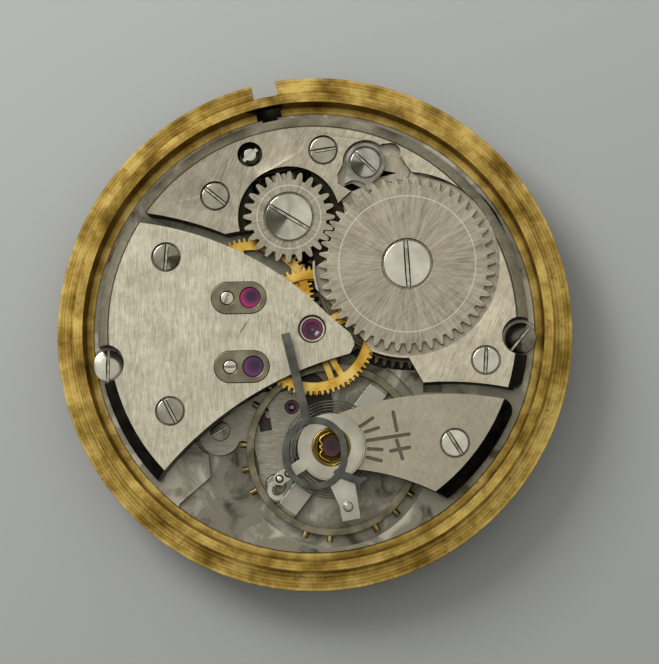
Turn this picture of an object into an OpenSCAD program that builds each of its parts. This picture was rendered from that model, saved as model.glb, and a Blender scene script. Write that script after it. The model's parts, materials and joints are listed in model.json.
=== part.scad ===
// Hand-wound three-bridge lever watch movement with centre seconds, in its brass casing ring.
// Dial side down, bridges up. The origin is the middle of the ring's lower face.

/* [Casing ring] */
// Outer diameter of the flange
flange_d = 30; // [29:0.1:31]
// Diameter of the wall above and below the flange
ring_wall_d = 27.85; // [27.6:0.1:28.6]
// Full height of the ring
ring_h = 5; // [4.9:0.05:5.3]
// Height of the flange's lower face
flange_z = 2.7; // [2.4:0.05:2.8]
// Thickness of the flange
flange_t = 0.9; // [0.7:0.05:1]
// Width of the flat lip on top of the wall
lip_w = 0.54; // [0.4:0.02:0.6]
// Height of the ledge inside the lip
ledge_z = 3.8; // [3.6:0.05:4]
// Radial play between the ring and the plate
ring_play = 0.03; // [0.02:0.01:0.08]
// Width of the shelf that the plate rests on
shelf_w = 0.5; // [0.3:0.05:0.6]
// Thickness of that shelf
shelf_t = 0.6; // [0.4:0.05:0.8]
// Width of the stem slot through the flange
stem_slot_w = 1.45; // [1.3:0.05:1.7]

/* [Plate and bridges] */
// Diameter of the main plate
plate_d = 25.6; // [25.5:0.05:25.8]
// Height of the plate's dial face above the ring's lower face
dial_z = 1.8; // [1.7:0.05:1.9]
// Thickness of the main plate
plate_t = 2.1; // [2.05:0.05:2.2]
// Height of the room between plate and bridges
room_h = 1; // [0.95:0.05:1.1]
// Thickness of the bridges
bridge_t = 0.9; // [0.85:0.05:1]
// Width of the plate's edge that the bridges leave bare
edge_strip_w = 0.35; // [0.2:0.05:0.4]
// Width of the bevel round the bridges' outer edge
bevel_w = 0.7; // [0.6:0.05:0.8]
// Height of that bevel
bevel_h = 0.7; // [0.5:0.05:0.8]
// Gap between the barrel bridge and the train bridge
bridge_gap = 0.6; // [0.5:0.05:0.8]
// Gap between the barrel bridge and the balance cock
cock_gap = 0.7; // [0.6:0.05:0.9]
// Thickness of the pallet bridge
pallet_bridge_t = 0.4; // [0.3:0.05:0.45]

/* [Places of the axes] */
// Barrel axis, to the right of the centre
barrel_x = 5.54; // [5.4:0.02:5.6]
// Barrel axis, above the centre
barrel_y = 3.67; // [3.6:0.01:3.76]
// Third wheel axis, to the right of the centre
third_x = -3.56; // [-3.6:0.01:-3.5]
// Third wheel axis, above the centre
third_y = 1.88; // [1.8:0.01:1.9]
// Escape wheel axis, to the right of the centre
escape_x = -3.43; // [-3.5:0.01:-3.4]
// Escape wheel axis, above the centre
escape_y = -2.11; // [-2.2:0.01:-2.1]
// Balance axis, to the right of the centre
balance_x = 1.02; // [0.98:0.01:1.1]
// Balance axis, above the centre
balance_y = -6.85; // [-6.9:0.01:-6.8]
// Direction of the stem axis from the centre, in degrees
stem_angle = 100.8; // [100.5:0.1:102]
// Distance of the crown wheel from the centre
crown_from_centre = 6.65; // [6.6:0.01:6.7]

/* [Going train] */
// Teeth of the barrel
barrel_teeth = 72; // [60:12:84]
// Leaves of the centre pinion
centre_leaves = 12; // [10:1:12]
// Teeth of the centre wheel
centre_teeth = 80; // [72:8:88]
// Leaves of the third pinion
third_leaves = 10; // [8:1:10]
// Teeth of the third wheel
third_teeth = 75; // [60:15:80]
// Leaves of the fourth pinion
fourth_leaves = 10; // [8:1:10]
// Teeth of the fourth wheel
fourth_teeth = 70; // [63:7:77]
// Leaves of the escape pinion
escape_leaves = 7; // [6:1:8]
// Thickness of the train wheels
wheel_t = 0.12; // [0.1:0.01:0.14]
// Width of the wheel rims under the teeth
rim_w = 0.5; // [0.4:0.05:0.6]
// Width of the wheel arms
arm_w = 0.36; // [0.28:0.02:0.44]
// Height of the drum of the barrel
drum_h = 1.4; // [1.3:0.02:1.44]
// Diameter of the drum of the barrel
drum_d = 10.8; // [10.4:0.05:10.9]
// Thickness of the drum's wall
drum_wall = 0.3; // [0.2:0.05:0.4]
// Thickness of the mainspring
mainspring_t = 0.11; // [0.09:0.01:0.13]
// Turns of the mainspring
mainspring_turns = 6; // [5:1:7]

/* [Escapement and balance] */
// Teeth of the escape wheel
escape_teeth = 15; // [15:1:15]
// Diameter of the balance rim
balance_d = 10; // [9.8:0.05:10.1]
// Radial width of the balance rim
balance_rim_w = 0.42; // [0.3:0.02:0.5]
// Height of the balance rim
balance_rim_h = 0.42; // [0.36:0.02:0.44]
// Diameter of a timing screw's head
timing_head_d = 0.36; // [0.3:0.02:0.4]
// How far the timing screws stand out of the rim
timing_out = 0.38; // [0.3:0.02:0.42]
// Direction of the balance arms, in degrees
balance_arm_angle = 52; // [0:1:180]
// Outer radius of the hairspring
hairspring_r = 3.15; // [3.1:0.01:3.2]
// Thickness of the hairspring strip
hairspring_t = 0.05; // [0.04:0.01:0.06]
// Turns of the hairspring
hairspring_turns = 5; // [4:0.5:5]
// Diameter of the shock setting in the cock
shock_d = 2.2; // [2.15:0.05:2.3]
// Outer diameter of the stud carrier's ring
carrier_ring_d = 3.9; // [3.8:0.05:4]
// Outer diameter of the index ring
index_ring_d = 3.68; // [3.5:0.02:3.8]
// Outer diameter of the grey lever's ring
lever_ring_d = 3.73; // [3.65:0.02:3.85]

/* [Winding work] */
// Teeth of the ratchet wheel
ratchet_teeth = 48; // [44:2:52]
// Teeth of the crown wheel
crown_teeth = 24; // [22:2:26]
// Teeth of the winding pinion
winding_teeth = 18; // [18:1:18]
// Thickness of the ratchet and crown wheels
winding_wheel_t = 0.48; // [0.4:0.02:0.5]
// Diameter of the heads of the ratchet and crown screws
big_head_d = 2.8; // [2.6:0.05:2.9]
// Height of the stem axis
stem_z = 3.5; // [3.45:0.01:3.55]
// Diameter of the winding and sliding pinions
winding_d = 3.4; // [3.3:0.05:3.5]
// Diameter of the stem's hole
stem_hole_d = 1.2; // [1.1:0.05:1.3]

/* [Dial work] */
// Leaves of the cannon pinion
cannon_leaves = 12; // [12:1:12]
// Teeth of the minute wheel
minute_teeth = 36; // [36:1:36]
// Leaves of the minute pinion
minute_leaves = 10; // [10:1:10]
// Teeth of the hour wheel
hour_teeth = 40; // [40:1:40]
// Distance of the minute wheel from the centre
minute_from_centre = 2.9; // [2.8:0.05:3]
// Diameter of the hour wheel's pipe
hour_pipe_d = 2; // [1.9:0.05:2.1]
// Diameter of the cannon pinion's pipe
cannon_pipe_d = 1.44; // [1.4:0.02:1.5]
// Diameter of the seconds pivot
seconds_d = 0.24; // [0.2:0.02:0.28]

/* [Screws] */
// Diameter of the bridge screws' heads
bridge_head_d = 1.62; // [1.5:0.02:1.7]
// Diameter of the casing screws' heads
casing_head_d = 1.9; // [1.8:0.05:2]
// Width of the screw slots
slot_w = 0.22; // [0.16:0.02:0.26]
// Depth of the screw slots
slot_deep = 0.16; // [0.1:0.02:0.2]
// Radial play round a screw head
head_play = 0.06; // [0.04:0.01:0.08]
// Diameter of the dial feet holes
dial_foot_d = 0.7; // [0.6:0.05:0.8]

/* [Hidden] */
$fn = 96;
eps = 0.01;
fit = 0.02;

// Places of the axes in the plan
centre_at = [0, 0];
barrel_at = [barrel_x, barrel_y];
third_at = [third_x, third_y];
escape_at = [escape_x, escape_y];
balance_at = [balance_x, balance_y];
crown_at = crown_from_centre * ray(stem_angle);
click_at = [3.22, 9.6];
click_beak = [0.185, -1.61];
minute_at = minute_from_centre * ray(stem_angle);

// Heights of the levels
plate_top = dial_z + plate_t;
bridge_z = plate_top + room_h;
top_z = bridge_z + bridge_t;
fourth_z = bridge_z - 0.25;
third_z = fourth_z - wheel_t - 0.11;
centre_z = third_z - wheel_t - 0.12;
drum_z = centre_z - 0.08 - drum_h;
barrel_teeth_z = drum_z + 0.3;
barrel_teeth_h = 0.45;
escape_z = plate_top - 1.05;
pallet_bridge_z = escape_z + 0.37;
balance_z = pallet_bridge_z + pallet_bridge_t + 0.06;
hairspring_z = balance_z + balance_rim_h + 0.2;
hairspring_h = 0.15;
ratchet_z = top_z - winding_wheel_t - 0.02;
recess_z = ratchet_z - 0.1;
carrier_z = top_z + 0.03;
index_z = carrier_z + 0.16;
lever_z = index_z + 0.2;

// Radii
plate_r = plate_d / 2;
bridges_r = plate_r - edge_strip_w;
ring_wall_r = ring_wall_d / 2;
ring_bore_r = plate_r + ring_play;
stem_hole_r = stem_hole_d / 2;

// Tooth sizes, from the distances between the axes
barrel_module = 2 * norm(barrel_at) / (barrel_teeth + centre_leaves);
centre_module = 2 * norm(third_at) / (centre_teeth + third_leaves);
third_module = 2 * norm(third_at) / (third_teeth + fourth_leaves);
fourth_module = 2 * norm(escape_at) / (fourth_teeth + escape_leaves);
winding_module = 2 * norm(barrel_at - crown_at) / (ratchet_teeth + crown_teeth);
cannon_module = 2 * minute_from_centre / (cannon_leaves + minute_teeth);
hour_module = 2 * minute_from_centre / (minute_leaves + hour_teeth);

// Where the teeth of each wheel stand, so that every pair is in mesh at rest
barrel_phase = 0;
centre_leaf_phase = mesh_phase(barrel_at, centre_at, barrel_phase, barrel_teeth, centre_leaves);
centre_phase = 0;
third_leaf_phase = mesh_phase(centre_at, third_at, centre_phase, centre_teeth, third_leaves);
third_phase = 0;
fourth_leaf_phase = mesh_phase(third_at, centre_at, third_phase, third_teeth, fourth_leaves);
fourth_phase = 0;
escape_leaf_phase = mesh_phase(centre_at, escape_at, fourth_phase, fourth_teeth, escape_leaves);
ratchet_phase = angle_of(click_at + click_beak - barrel_at) - 180 / ratchet_teeth;
crown_phase = mesh_phase(barrel_at, crown_at, ratchet_phase, ratchet_teeth, crown_teeth);
winding_phase = 180 - 360 / winding_teeth
    * (0.5 - (stem_angle - crown_phase) * crown_teeth / 360);
cannon_phase = 0;
minute_phase = mesh_phase(centre_at, minute_at, cannon_phase, cannon_leaves, minute_teeth);
minute_leaf_phase = 0;
hour_phase = mesh_phase(minute_at, centre_at, minute_leaf_phase, minute_leaves, hour_teeth);

// Arcs that the bridges' edges share
train_arc_at = [-12.5, -12];
train_arc_r = 18.57;
train_lower_arc_at = [6.95, -21.5];
train_lower_arc_r = 20.6;
cock_arc_at = [7.4, -21.48];
cock_arc_r = 17.6;
cock_lower_arc_at = [0.85, -21.6];
cock_lower_arc_r = 13.56;
bridge_corner_r = 0.6;
cock_end_r = 1.75;
bridge_disc_r = 5.45;

// The lever escapement lies on one straight line from the escape wheel to the balance
line_angle = angle_of(balance_at - escape_at);
line_length = norm(balance_at - escape_at);
pallet_share = 0.465;
pallet_from_escape = line_length * pallet_share;
pallet_at = escape_at + pallet_from_escape * ray(line_angle);
escape_r = pallet_from_escape * cos(30);
lift_ratio = sin(5) / sin(26);
fork_l = (line_length - pallet_from_escape) / (1 + lift_ratio);
impulse_r = fork_l * lift_ratio;
fork_z = escape_z;
fork_t = 0.2;
roller_z = fork_z + fork_t + 0.12;
roller_t = 0.16;
roller_r = impulse_r + 0.3;

// Screws of the bridges: place and direction of the slot
barrel_screws = [[-5.51, 7.84, -40], [0.79, 10.39, 5], [9.96, -2, 88]];
train_screws = [[-8.39, 4.34, 95], [-8.25, -4.59, -60]];
cock_screws = [[8.1, -6.73, -55]];
casing_seat_z = ledge_z - 0.1;
casing_places = [[-11.99, -1.77, 70], [12.01, -0.61, -40]];
pallet_screws = [[-5.55, -5.63], [-2.34, -8.81]];
pallet_head_d = 1.2;
head_deep = 0.5;
head_up = 0.02;
setting_lever_at = [-3.46, 10.23];
setting_sink_r = 0.73;
cap_plate_places = [[third_x, third_y, 0], [escape_x, escape_y, 0]];
cap_plate_l = 3.2;
cap_plate_w = 1.86;
cap_screw_back = 1.32;
timing_angles = [-56, -40, -25, 19, 35, 66, 82, 97];

// Direction and length helpers
function ray(a) = [cos(a), sin(a)];
function angle_of(v) = atan2(v[1], v[0]);
function mesh_phase(a_at, b_at, a_phase, a_teeth, b_teeth) =
    let (line = angle_of(b_at - a_at))
    line + 180 - 360 / b_teeth * (0.5 - (line - a_phase) * a_teeth / 360);

// Outline of a gear: six points a tooth, with the first tooth in the direction of phase; each
// tooth fills a share of the pitch, root_part times as wide at its foot and tip_part at its tip
function gear_points(teeth, module_mm, phase, tip, root, fill, root_part = 1.12, tip_part = 0.4) =
    let (pitch_r = teeth * module_mm / 2, step = 360 / teeth)
    [for (i = [0:teeth - 1], p = [
            [pitch_r - root * module_mm, -fill * root_part / 2],
            [pitch_r, -fill / 2],
            [pitch_r + tip * module_mm, -fill * tip_part / 2],
            [pitch_r + tip * module_mm, fill * tip_part / 2],
            [pitch_r, fill / 2],
            [pitch_r - root * module_mm, fill * root_part / 2]])
        p[0] * ray(phase + (i + p[1]) * step)];

module wheel_outline(teeth, module_mm, phase) {
    polygon(gear_points(teeth, module_mm, phase, 1.1, 1.3, 0.46));
}

module pinion_outline(leaves, module_mm, phase) {
    polygon(gear_points(leaves, module_mm, phase, 0.85, 1.35, 0.4));
}

// A flat strip with square ends between two points of the plan
module strip(a, b, w) {
    translate(a) rotate(angle_of(b - a)) translate([0, -w / 2]) square([norm(b - a), w]);
}

// The same strip with round ends
module bar(a, b, w) {
    strip(a, b, w);
    translate(a) circle(d = w);
    translate(b) circle(d = w);
}

// What a round corner takes off: the quarter that starts in the direction of turn
module corner_waste(at, turn) {
    translate(at) rotate(turn) difference() {
        square(bridge_corner_r + 1);
        circle(r = bridge_corner_r);
    }
}

module disc_at(at, r) {
    translate(at) circle(r = r);
}

// A wheel with a toothed rim, arms and a hub, flat on its lower face
module spoked_wheel(teeth, module_mm, phase, arms, hub_r, bore_r, arm_turn) {
    inner_r = teeth * module_mm / 2 - 1.3 * module_mm - rim_w;
    linear_extrude(wheel_t) difference() {
        union() {
            difference() {
                wheel_outline(teeth, module_mm, phase);
                circle(r = inner_r);
            }
            for (i = [0:arms - 1])
                rotate(arm_turn + i * 360 / arms)
                    translate([0, -arm_w / 2]) square([inner_r + rim_w / 2, arm_w]);
            circle(r = hub_r);
        }
        circle(r = bore_r);
    }
}

// A turned arbor with a pivot at each end
module arbor(z0, z1, r, pivot_r, pivot_l) {
    translate([0, 0, z0 + pivot_l]) cylinder(r = r, h = z1 - z0 - 2 * pivot_l);
    translate([0, 0, z0]) cylinder(r = pivot_r, h = z1 - z0);
}

// A slotted screw whose head's upper face is at z
module screw(place, z, head_d, head_h, shank_d, shank_l, slot = slot_w) {
    translate([place[0], place[1], z]) {
        difference() {
            translate([0, 0, -head_h]) cylinder(d = head_d, h = head_h);
            rotate(len(place) > 2 ? place[2] : 30) translate([-head_d, -slot / 2, -slot_deep])
                cube([2 * head_d, slot, slot_deep + 1]);
        }
        translate([0, 0, -head_h - shank_l]) cylinder(d = shank_d, h = shank_l);
    }
}

// Solid inside the bridges' outer edge, with the bevel round its top
module edge_solid(z0, z1) {
    rotate_extrude() polygon([[0, z0], [bridges_r, z0], [bridges_r, z1 - bevel_h],
        [bridges_r - bevel_w, z1], [0, z1]]);
}

module stem_frame() {
    translate([0, 0, stem_z]) rotate(stem_angle) rotate([0, 90, 0]) children();
}

module casing_ring() {
    color("#b8963f") difference() {
        rotate_extrude(convexity = 6) difference() {
            union() {
                translate([ring_bore_r - 1, 0]) square([ring_wall_r - ring_bore_r + 1, ring_h]);
                translate([ring_bore_r, flange_z])
                    square([flange_d / 2 - ring_bore_r, flange_t]);
            }
            // the bore above the shelf, the dish above the ledge and the bore below
            translate([0, dial_z]) square([ring_bore_r, ring_h]);
            polygon([[0, ledge_z], [ring_wall_r - lip_w - 0.12, ledge_z],
                [ring_wall_r - lip_w, ring_h - 0.12], [ring_wall_r - lip_w, ring_h + 1],
                [0, ring_h + 1]]);
            square([ring_bore_r - shelf_w, dial_z]);
            translate([0, -eps]) square([ring_bore_r - 0.15, dial_z - shelf_t + eps]);
        }
        // the stem's slot through the flange and the wall, under the lip
        rotate(stem_angle) translate([ring_bore_r - 1, -stem_slot_w / 2, stem_z - stem_slot_w / 2])
            cube([5, stem_slot_w, stem_slot_w]);
        rotate(stem_angle) translate([ring_wall_r, -stem_slot_w / 2, 0])
            cube([5, stem_slot_w, ring_h]);
        // seats of the casing screws' heads in the ledge
        for (p = casing_places)
            translate([p[0], p[1], casing_seat_z]) cylinder(d = casing_head_d + 0.3, h = 0.5);
    }
}

module plate_recess(at, r, z) {
    translate([at[0], at[1], z]) cylinder(r = r, h = top_z);
}

module plate_body() {
    difference() {
        translate([0, 0, dial_z]) cylinder(r = plate_r, h = plate_t);
        // room for the moving pieces
        plate_recess(barrel_at, barrel_module * barrel_teeth / 2 + 0.3, drum_z - 0.1);
        plate_recess(centre_at, 1.35, barrel_teeth_z - 0.15);
        plate_recess(balance_at, balance_d / 2 + timing_out + 0.25, pallet_bridge_z);
        plate_recess(pallet_screws[0], 1.55, pallet_bridge_z);
        // open floor between the balance and the plate's edge
        translate([0, 0, pallet_bridge_z]) linear_extrude(top_z)
            polygon([[-6.3, -6.2], [-6.1, -8.3], [-7.95, -9.85], [-9, -14], [-4.6, -14],
                [-4.2, -11.4], [-3.2, -11], [-3, -9]]);
        translate([0, 0, pallet_bridge_z]) linear_extrude(top_z)
            bar(pallet_screws[0], pallet_at, 2.5);
        plate_recess(balance_at, roller_r + 0.25, fork_z - 0.5);
        plate_recess(escape_at, escape_r + 0.25, escape_z - 0.15);
        plate_recess(pallet_at, 2.4, escape_z - 0.15);
        translate([0, 0, escape_z - 0.15]) linear_extrude(top_z)
            bar(pallet_at, balance_at, 1.5);
        // holes of the arbors and of the jewels pressed in from above
        translate([0, 0, dial_z - 1]) {
            cylinder(r = 0.55 + fit, h = 5);
            translate(barrel_at) cylinder(r = 0.5 + fit, h = 5);
            translate(balance_at) cylinder(r = 0.8, h = 5);
        }
        for (at = [escape_at, pallet_at])
            translate([at[0], at[1], dial_z - 1]) cylinder(r = 0.5, h = 5);
        translate([third_x, third_y, dial_z - 1]) cylinder(r = 0.6, h = 5);
        // slot of the winding and sliding pinions, and the stem's hole
        rotate(stem_angle) translate([sliding_from - 0.7, -winding_d / 2 - 0.1, dial_z - 1])
            cube([winding_to - sliding_from + 0.8, winding_d + 0.2, 5]);
        stem_frame() translate([0, 0, 4]) cylinder(r = stem_hole_r, h = 12);
        // screw holes
        for (p = concat(barrel_screws, train_screws, cock_screws))
            translate([p[0], p[1], dial_z + 0.5]) cylinder(d = 0.7, h = 5);
        for (p = casing_places)
            translate([p[0], p[1], dial_z - 1]) cylinder(d = 0.7, h = 5);
        for (p = casing_places)
            translate([p[0], p[1], casing_seat_z]) cylinder(d = casing_head_d + 0.3, h = 5);
        for (p = pallet_screws)
            translate([p[0], p[1], pallet_bridge_z - 1]) cylinder(d = 0.5, h = 5);
        translate([setting_lever_at[0], setting_lever_at[1], dial_z - 1]) cylinder(d = 0.8, h = 5);
        // pocket that shows between the barrel bridge and the cock
        translate([6.3, -3.63, plate_top - 0.8]) cube([1.08, 0.49, 1]);
        // dial feet holes and the dial-side recess of the motion work
        for (a = dial_foot_angles)
            translate([dial_foot_from * cos(a), dial_foot_from * sin(a), dial_z - 1])
                cylinder(d = dial_foot_d, h = 5);
        rotate(stem_angle) translate([setting_from, 0, dial_z - 1])
            cylinder(r = setting_r + 0.3, h = 1 + setting_wheel_z + setting_wheel_t + 0.1 - dial_z);
    }
}

module main_plate() {
    color("#a9a595") {
        plate_body();
        // posts of the minute wheel and of the setting wheel
        translate([minute_at[0], minute_at[1], hour_z - 0.1])
            cylinder(r = minute_post_r, h = dial_z - hour_z + 0.2);
        rotate(stem_angle) translate([setting_from, 0, setting_wheel_z])
            cylinder(r = setting_post_r, h = setting_wheel_t + 0.2);
    }
}

// Plan of each bridge, larger than the movement where the edge trims it
module barrel_outline() {
    difference() {
        union() {
            difference() {
                circle(r = plate_r);
                translate([-20, -20]) square([20.15, 25.2]);
                translate([0, -20]) square([20, 23]);
            }
            disc_at(barrel_at, bridge_disc_r);
            difference() {
                circle(r = plate_r);
                disc_at(cock_arc_at, cock_arc_r + cock_gap);
                polygon([[-20, 3.2], [2.8, 3.2], [7.35, -5], [7.35, -20], [-20, -20]]);
                translate([-20, 3.2]) square([40, 20]);
            }
        }
        disc_at(train_arc_at, train_arc_r + bridge_gap);
        // the edge turns up to the crown wheel's sink
        polygon([[-4.9, 5.63], [-3.5, 5.86], [-2.9, 5.2], [-2.9, 4], [-6, 4]]);
        corner_waste([-9.18, 7.49], 155);
        corner_waste([11.5, -2.93], -90);
    }
}

module train_outline() {
    difference() {
        intersection() {
            circle(r = plate_r);
            disc_at(train_arc_at, train_arc_r);
            translate([-20, -20]) square([22.42, 40]);
        }
        disc_at(train_lower_arc_at, train_lower_arc_r);
        polygon([[2.42, -1], [2.2, -1.42], [1.6, -1.75], [1.6, -2.5], [3, -2.5], [3, -1]]);
        corner_waste([-10.31, 5.84], 72);
    }
    // the straight stretch that runs along the ratchet wheel's teeth
    polygon([[-0.8, 2.35], [2.2, -0.3], [2.42, -0.8], [2.38, -1.1], [1.6, -1.6], [0, 0]]);
}

module cock_outline() {
    difference() {
        intersection() {
            circle(r = plate_r);
            disc_at(cock_arc_at, cock_arc_r);
            translate([balance_x, -20]) square([20, 40]);
        }
        disc_at(cock_lower_arc_at, cock_lower_arc_r);
        corner_waste([10.82, -4.83], -18);
    }
    disc_at(balance_at, cock_end_r);
}

// Room that every foot leaves to the wheels under the bridges
module wheel_room() {
    disc_at(barrel_at, barrel_module * barrel_teeth / 2 + 0.35);
    disc_at(third_at, third_module * third_teeth / 2 + 0.25);
    disc_at(centre_at, fourth_module * fourth_teeth / 2 + 0.3);
    disc_at(escape_at, escape_r + 0.3);
    disc_at(balance_at, balance_d / 2 + timing_out + 0.3);
    rotate(stem_angle) translate([3, -winding_d / 2 - 0.15])
        square([winding_to - 2.85, winding_d + 0.3]);
}

module bridge_body() {
    intersection() {
        union() {
            translate([0, 0, bridge_z]) linear_extrude(bridge_t) children();
            translate([0, 0, plate_top]) linear_extrude(room_h) difference() {
                children();
                wheel_room();
            }
        }
        edge_solid(plate_top, top_z);
    }
}

module head_sink(place, head_d, deep) {
    translate([place[0], place[1], top_z - deep]) cylinder(d = head_d + 2 * head_play, h = 2);
    translate([place[0], place[1], plate_top - 1]) cylinder(d = 0.7, h = 6);
}

module casing_screw_room() {
    for (p = casing_places)
        translate([p[0], p[1], plate_top - 1]) cylinder(d = casing_head_d + 0.3, h = 6);
}

module barrel_bridge() {
    color("#b5b0a2") difference() {
        union() {
            bridge_body() barrel_outline();
            translate([barrel_x, barrel_y, drum_z + drum_h + 0.15])
                cylinder(r = 1.2, h = bridge_z - drum_z - drum_h);
            intersection() {
                translate([crown_at[0], crown_at[1], bridge_z - 0.2]) cylinder(r = 2.5, h = 0.3);
                translate([0, 0, bridge_z - 0.2]) linear_extrude(0.4) difference() {
                    barrel_outline();
                    disc_at(third_at, third_module * third_teeth / 2 + 0.25);
                }
            }
        }
        // sinks of the ratchet wheel, the crown wheel and the click
        translate([barrel_x, barrel_y, recess_z]) cylinder(r = ratchet_sink_r, h = 2);
        translate([crown_at[0], crown_at[1], recess_z]) cylinder(r = crown_sink_r, h = 2);
        translate([click_at[0], click_at[1], recess_z]) cylinder(r = 1.32, h = 2);
        translate([0, 0, recess_z]) linear_extrude(2) {
            polygon([[1.9, 9.5], [1.6, 8.95], [1.62, 8.4], [3.3, 7.4], [6.6, 8], [6.08, 8.81],
                [5.71, 9.23], [5.27, 9.93], [4.4, 9.9]]);
            bar([4.4, 10.1], [4.68, 10.12], 1.2);
        }
        // openings beside the click's beak and in the click spring
        translate([0, 0, bridge_z - 1]) linear_extrude(5) {
            polygon([[1.88, 8.33], [2.29, 7.97], [2.97, 8.23], [2.4, 8.5]]);
            polygon(spring_opening);
        }
        // ring channel of the crown wheel's lower teeth
        translate([crown_at[0], crown_at[1], crown_channel_z]) difference() {
            cylinder(r = crown_lower_r + 0.12, h = 1);
            cylinder(r = crown_lower_r - crown_lower_w - 0.12, h = 1);
        }
        // openings over the sliding pinion and the winding pinion
        rotate(stem_angle) translate([sliding_from - 0.7, -sliding_r - 0.1, plate_top - 1])
            cube([2, 2 * sliding_r + 0.2, bridge_z - plate_top + 1]);
        rotate(stem_angle) translate([winding_from - 0.1, -winding_d / 2 - 0.05, plate_top - 1])
            cube([winding_to - winding_from + 0.2, winding_d + 0.1,
                crown_channel_z + 0.25 - plate_top + 1]);
        translate([barrel_x, barrel_y, plate_top]) cylinder(r = 0.75 + fit, h = 5);
        translate([crown_at[0], crown_at[1], bridge_z - 1]) cylinder(r = 0.35, h = 5);
        translate([click_at[0], click_at[1], bridge_z - 1]) cylinder(r = 0.3, h = 5);
        translate([setting_lever_at[0], setting_lever_at[1], plate_top - 1])
            cylinder(r = setting_sink_r, h = 6);
        for (p = barrel_screws) head_sink(p, bridge_head_d, head_deep);
        stem_frame() translate([0, 0, 4]) cylinder(r = stem_hole_r, h = 12);
        casing_screw_room();
    }
}

module cap_plate_outline(play = 0) {
    translate([-cap_plate_l + cap_plate_w / 2, 0]) bar([0, 0],
        [cap_plate_l - cap_plate_w, 0], cap_plate_w + 2 * play);
}

module train_bridge() {
    color("#bdb8aa") difference() {
        bridge_body() train_outline();
        for (p = train_screws) head_sink(p, bridge_head_d, head_deep);
        for (p = cap_plate_places) translate([p[0], p[1], 0]) {
            translate([0, 0, top_z - cap_plate_t]) linear_extrude(1)
                translate([cap_shift, 0]) cap_plate_outline(0.02);
            translate([0, 0, bridge_z - 1]) cylinder(r = 0.6, h = 5);
            translate([-cap_screw_back, 0, bridge_z + 0.2]) cylinder(r = 0.2, h = 5);
        }
        translate([0, 0, bridge_z - 1]) cylinder(r = 0.63, h = 5);
        translate([0, 0, top_z - 0.14]) cylinder(r1 = 0.7, r2 = 0.84, h = 0.15);
        casing_screw_room();
    }
}

module balance_cock() {
    color("#b9b4a6") difference() {
        bridge_body() cock_outline();
        for (p = cock_screws) head_sink(p, bridge_head_d, head_deep);
        translate([balance_x, balance_y, bridge_z - 1]) cylinder(d = shock_d - 0.2, h = 5);
        // index marks and the two signs
        translate([0, 0, top_z - 0.08]) linear_extrude(1)
            for (m = concat(cock_marks, cock_signs)) bar(m[0], m[1], 0.2);
    }
}

module pallet_bridge_outline() {
    difference() {
        union() {
            polygon([[-5.5, -6.57], [-4.2, -6.2], [-3.6, -6.5], [-3.3, -7.7], [-3.33, -9],
                [-1.35, -9], [-1.35, -7.9], [-0.7, -5.2], [-0.7, -3.9], [-1.6, -3.45],
                [-3, -3.4], [-4.3, -4.15], [-5.95, -4.78], [-6.42, -5.3]]);
            disc_at(pallet_screws[0] - [0, 0.22], 1.2);
            disc_at(pallet_screws[1], 1);
        }
        // window over the exit stone, and room for the roller
        translate(escape_at) rotate(line_angle - 34) translate([escape_r - 0.3, -0.35])
            square([1.3, 0.7]);
        disc_at(balance_at, 2.15);
    }
}

module pallet_bridge() {
    color("#a8a496") difference() {
        translate([0, 0, pallet_bridge_z]) linear_extrude(pallet_bridge_t)
            pallet_bridge_outline();
        translate([pallet_at[0], pallet_at[1], pallet_bridge_z - 1]) cylinder(r = 0.42, h = 3);
        for (p = pallet_screws) translate([p[0], p[1], 0]) {
            cylinder(d = 0.5, h = 4);
            translate([0, 0, pallet_bridge_z + pallet_bridge_t - 0.2])
                cylinder(d = pallet_head_d + 0.06, h = 1);
        }
    }
}

module bridge_screws() {
    color("#d9d6cc") for (p = concat(barrel_screws, train_screws, cock_screws))
        screw(p, top_z + head_up, bridge_head_d, head_deep + head_up, 0.66,
            bridge_t + room_h + 0.4);
}

module pallet_bridge_screws() {
    color("#c9c6bc") for (p = pallet_screws)
        screw(p, pallet_bridge_z + pallet_bridge_t + 0.02, pallet_head_d, 0.2, 0.46, 1, 0.14);
}

module casing_screws() {
    color("#d9d6cc") for (p = casing_places)
        screw(p, casing_seat_z + 0.5, casing_head_d, 0.5, 0.66, 1.5, 0.24);
}

module setting_lever_screw() {
    color("#cfccc2") translate([setting_lever_at[0], setting_lever_at[1], 0]) {
        translate([0, 0, lever_side_z]) cylinder(r = 0.38, h = top_z - 0.5 - lever_side_z);
        difference() {
            union() {
                translate([0, 0, top_z - 0.55]) cylinder(r = 0.52, h = 0.25);
                translate([0, 0, top_z - 0.3]) cylinder(r1 = 0.52, r2 = 0.34, h = 0.14);
            }
            rotate(40) translate([-1, -0.11, top_z - 0.36]) cube([2, 0.22, 1]);
        }
        translate([0, 0, lever_side_z - 0.2]) cylinder(r = 0.6, h = 0.2);
    }
}

module barrel_drum() {
    color("#c9a850") translate([barrel_x, barrel_y, 0]) difference() {
        union() {
            translate([0, 0, drum_z]) cylinder(d = drum_d, h = drum_h);
            translate([0, 0, barrel_teeth_z]) linear_extrude(barrel_teeth_h)
                wheel_outline(barrel_teeth, barrel_module, barrel_phase);
        }
        translate([0, 0, drum_z + 0.2]) cylinder(d = drum_d - 2 * drum_wall, h = drum_h);
        translate([0, 0, drum_z + drum_h - drum_cover_t])
            cylinder(d = drum_d - drum_wall, h = 1);
        translate([0, 0, drum_z - 1]) cylinder(r = 0.5 + fit, h = 3);
    }
}

module barrel_cover() {
    color("#c9a850") translate([barrel_x, barrel_y, drum_z + drum_h - drum_cover_t])
        difference() {
            cylinder(d = drum_d - drum_wall - 0.02, h = drum_cover_t);
            translate([0, 0, -1]) cylinder(r = 0.75 + fit, h = 3);
        }
}

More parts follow.
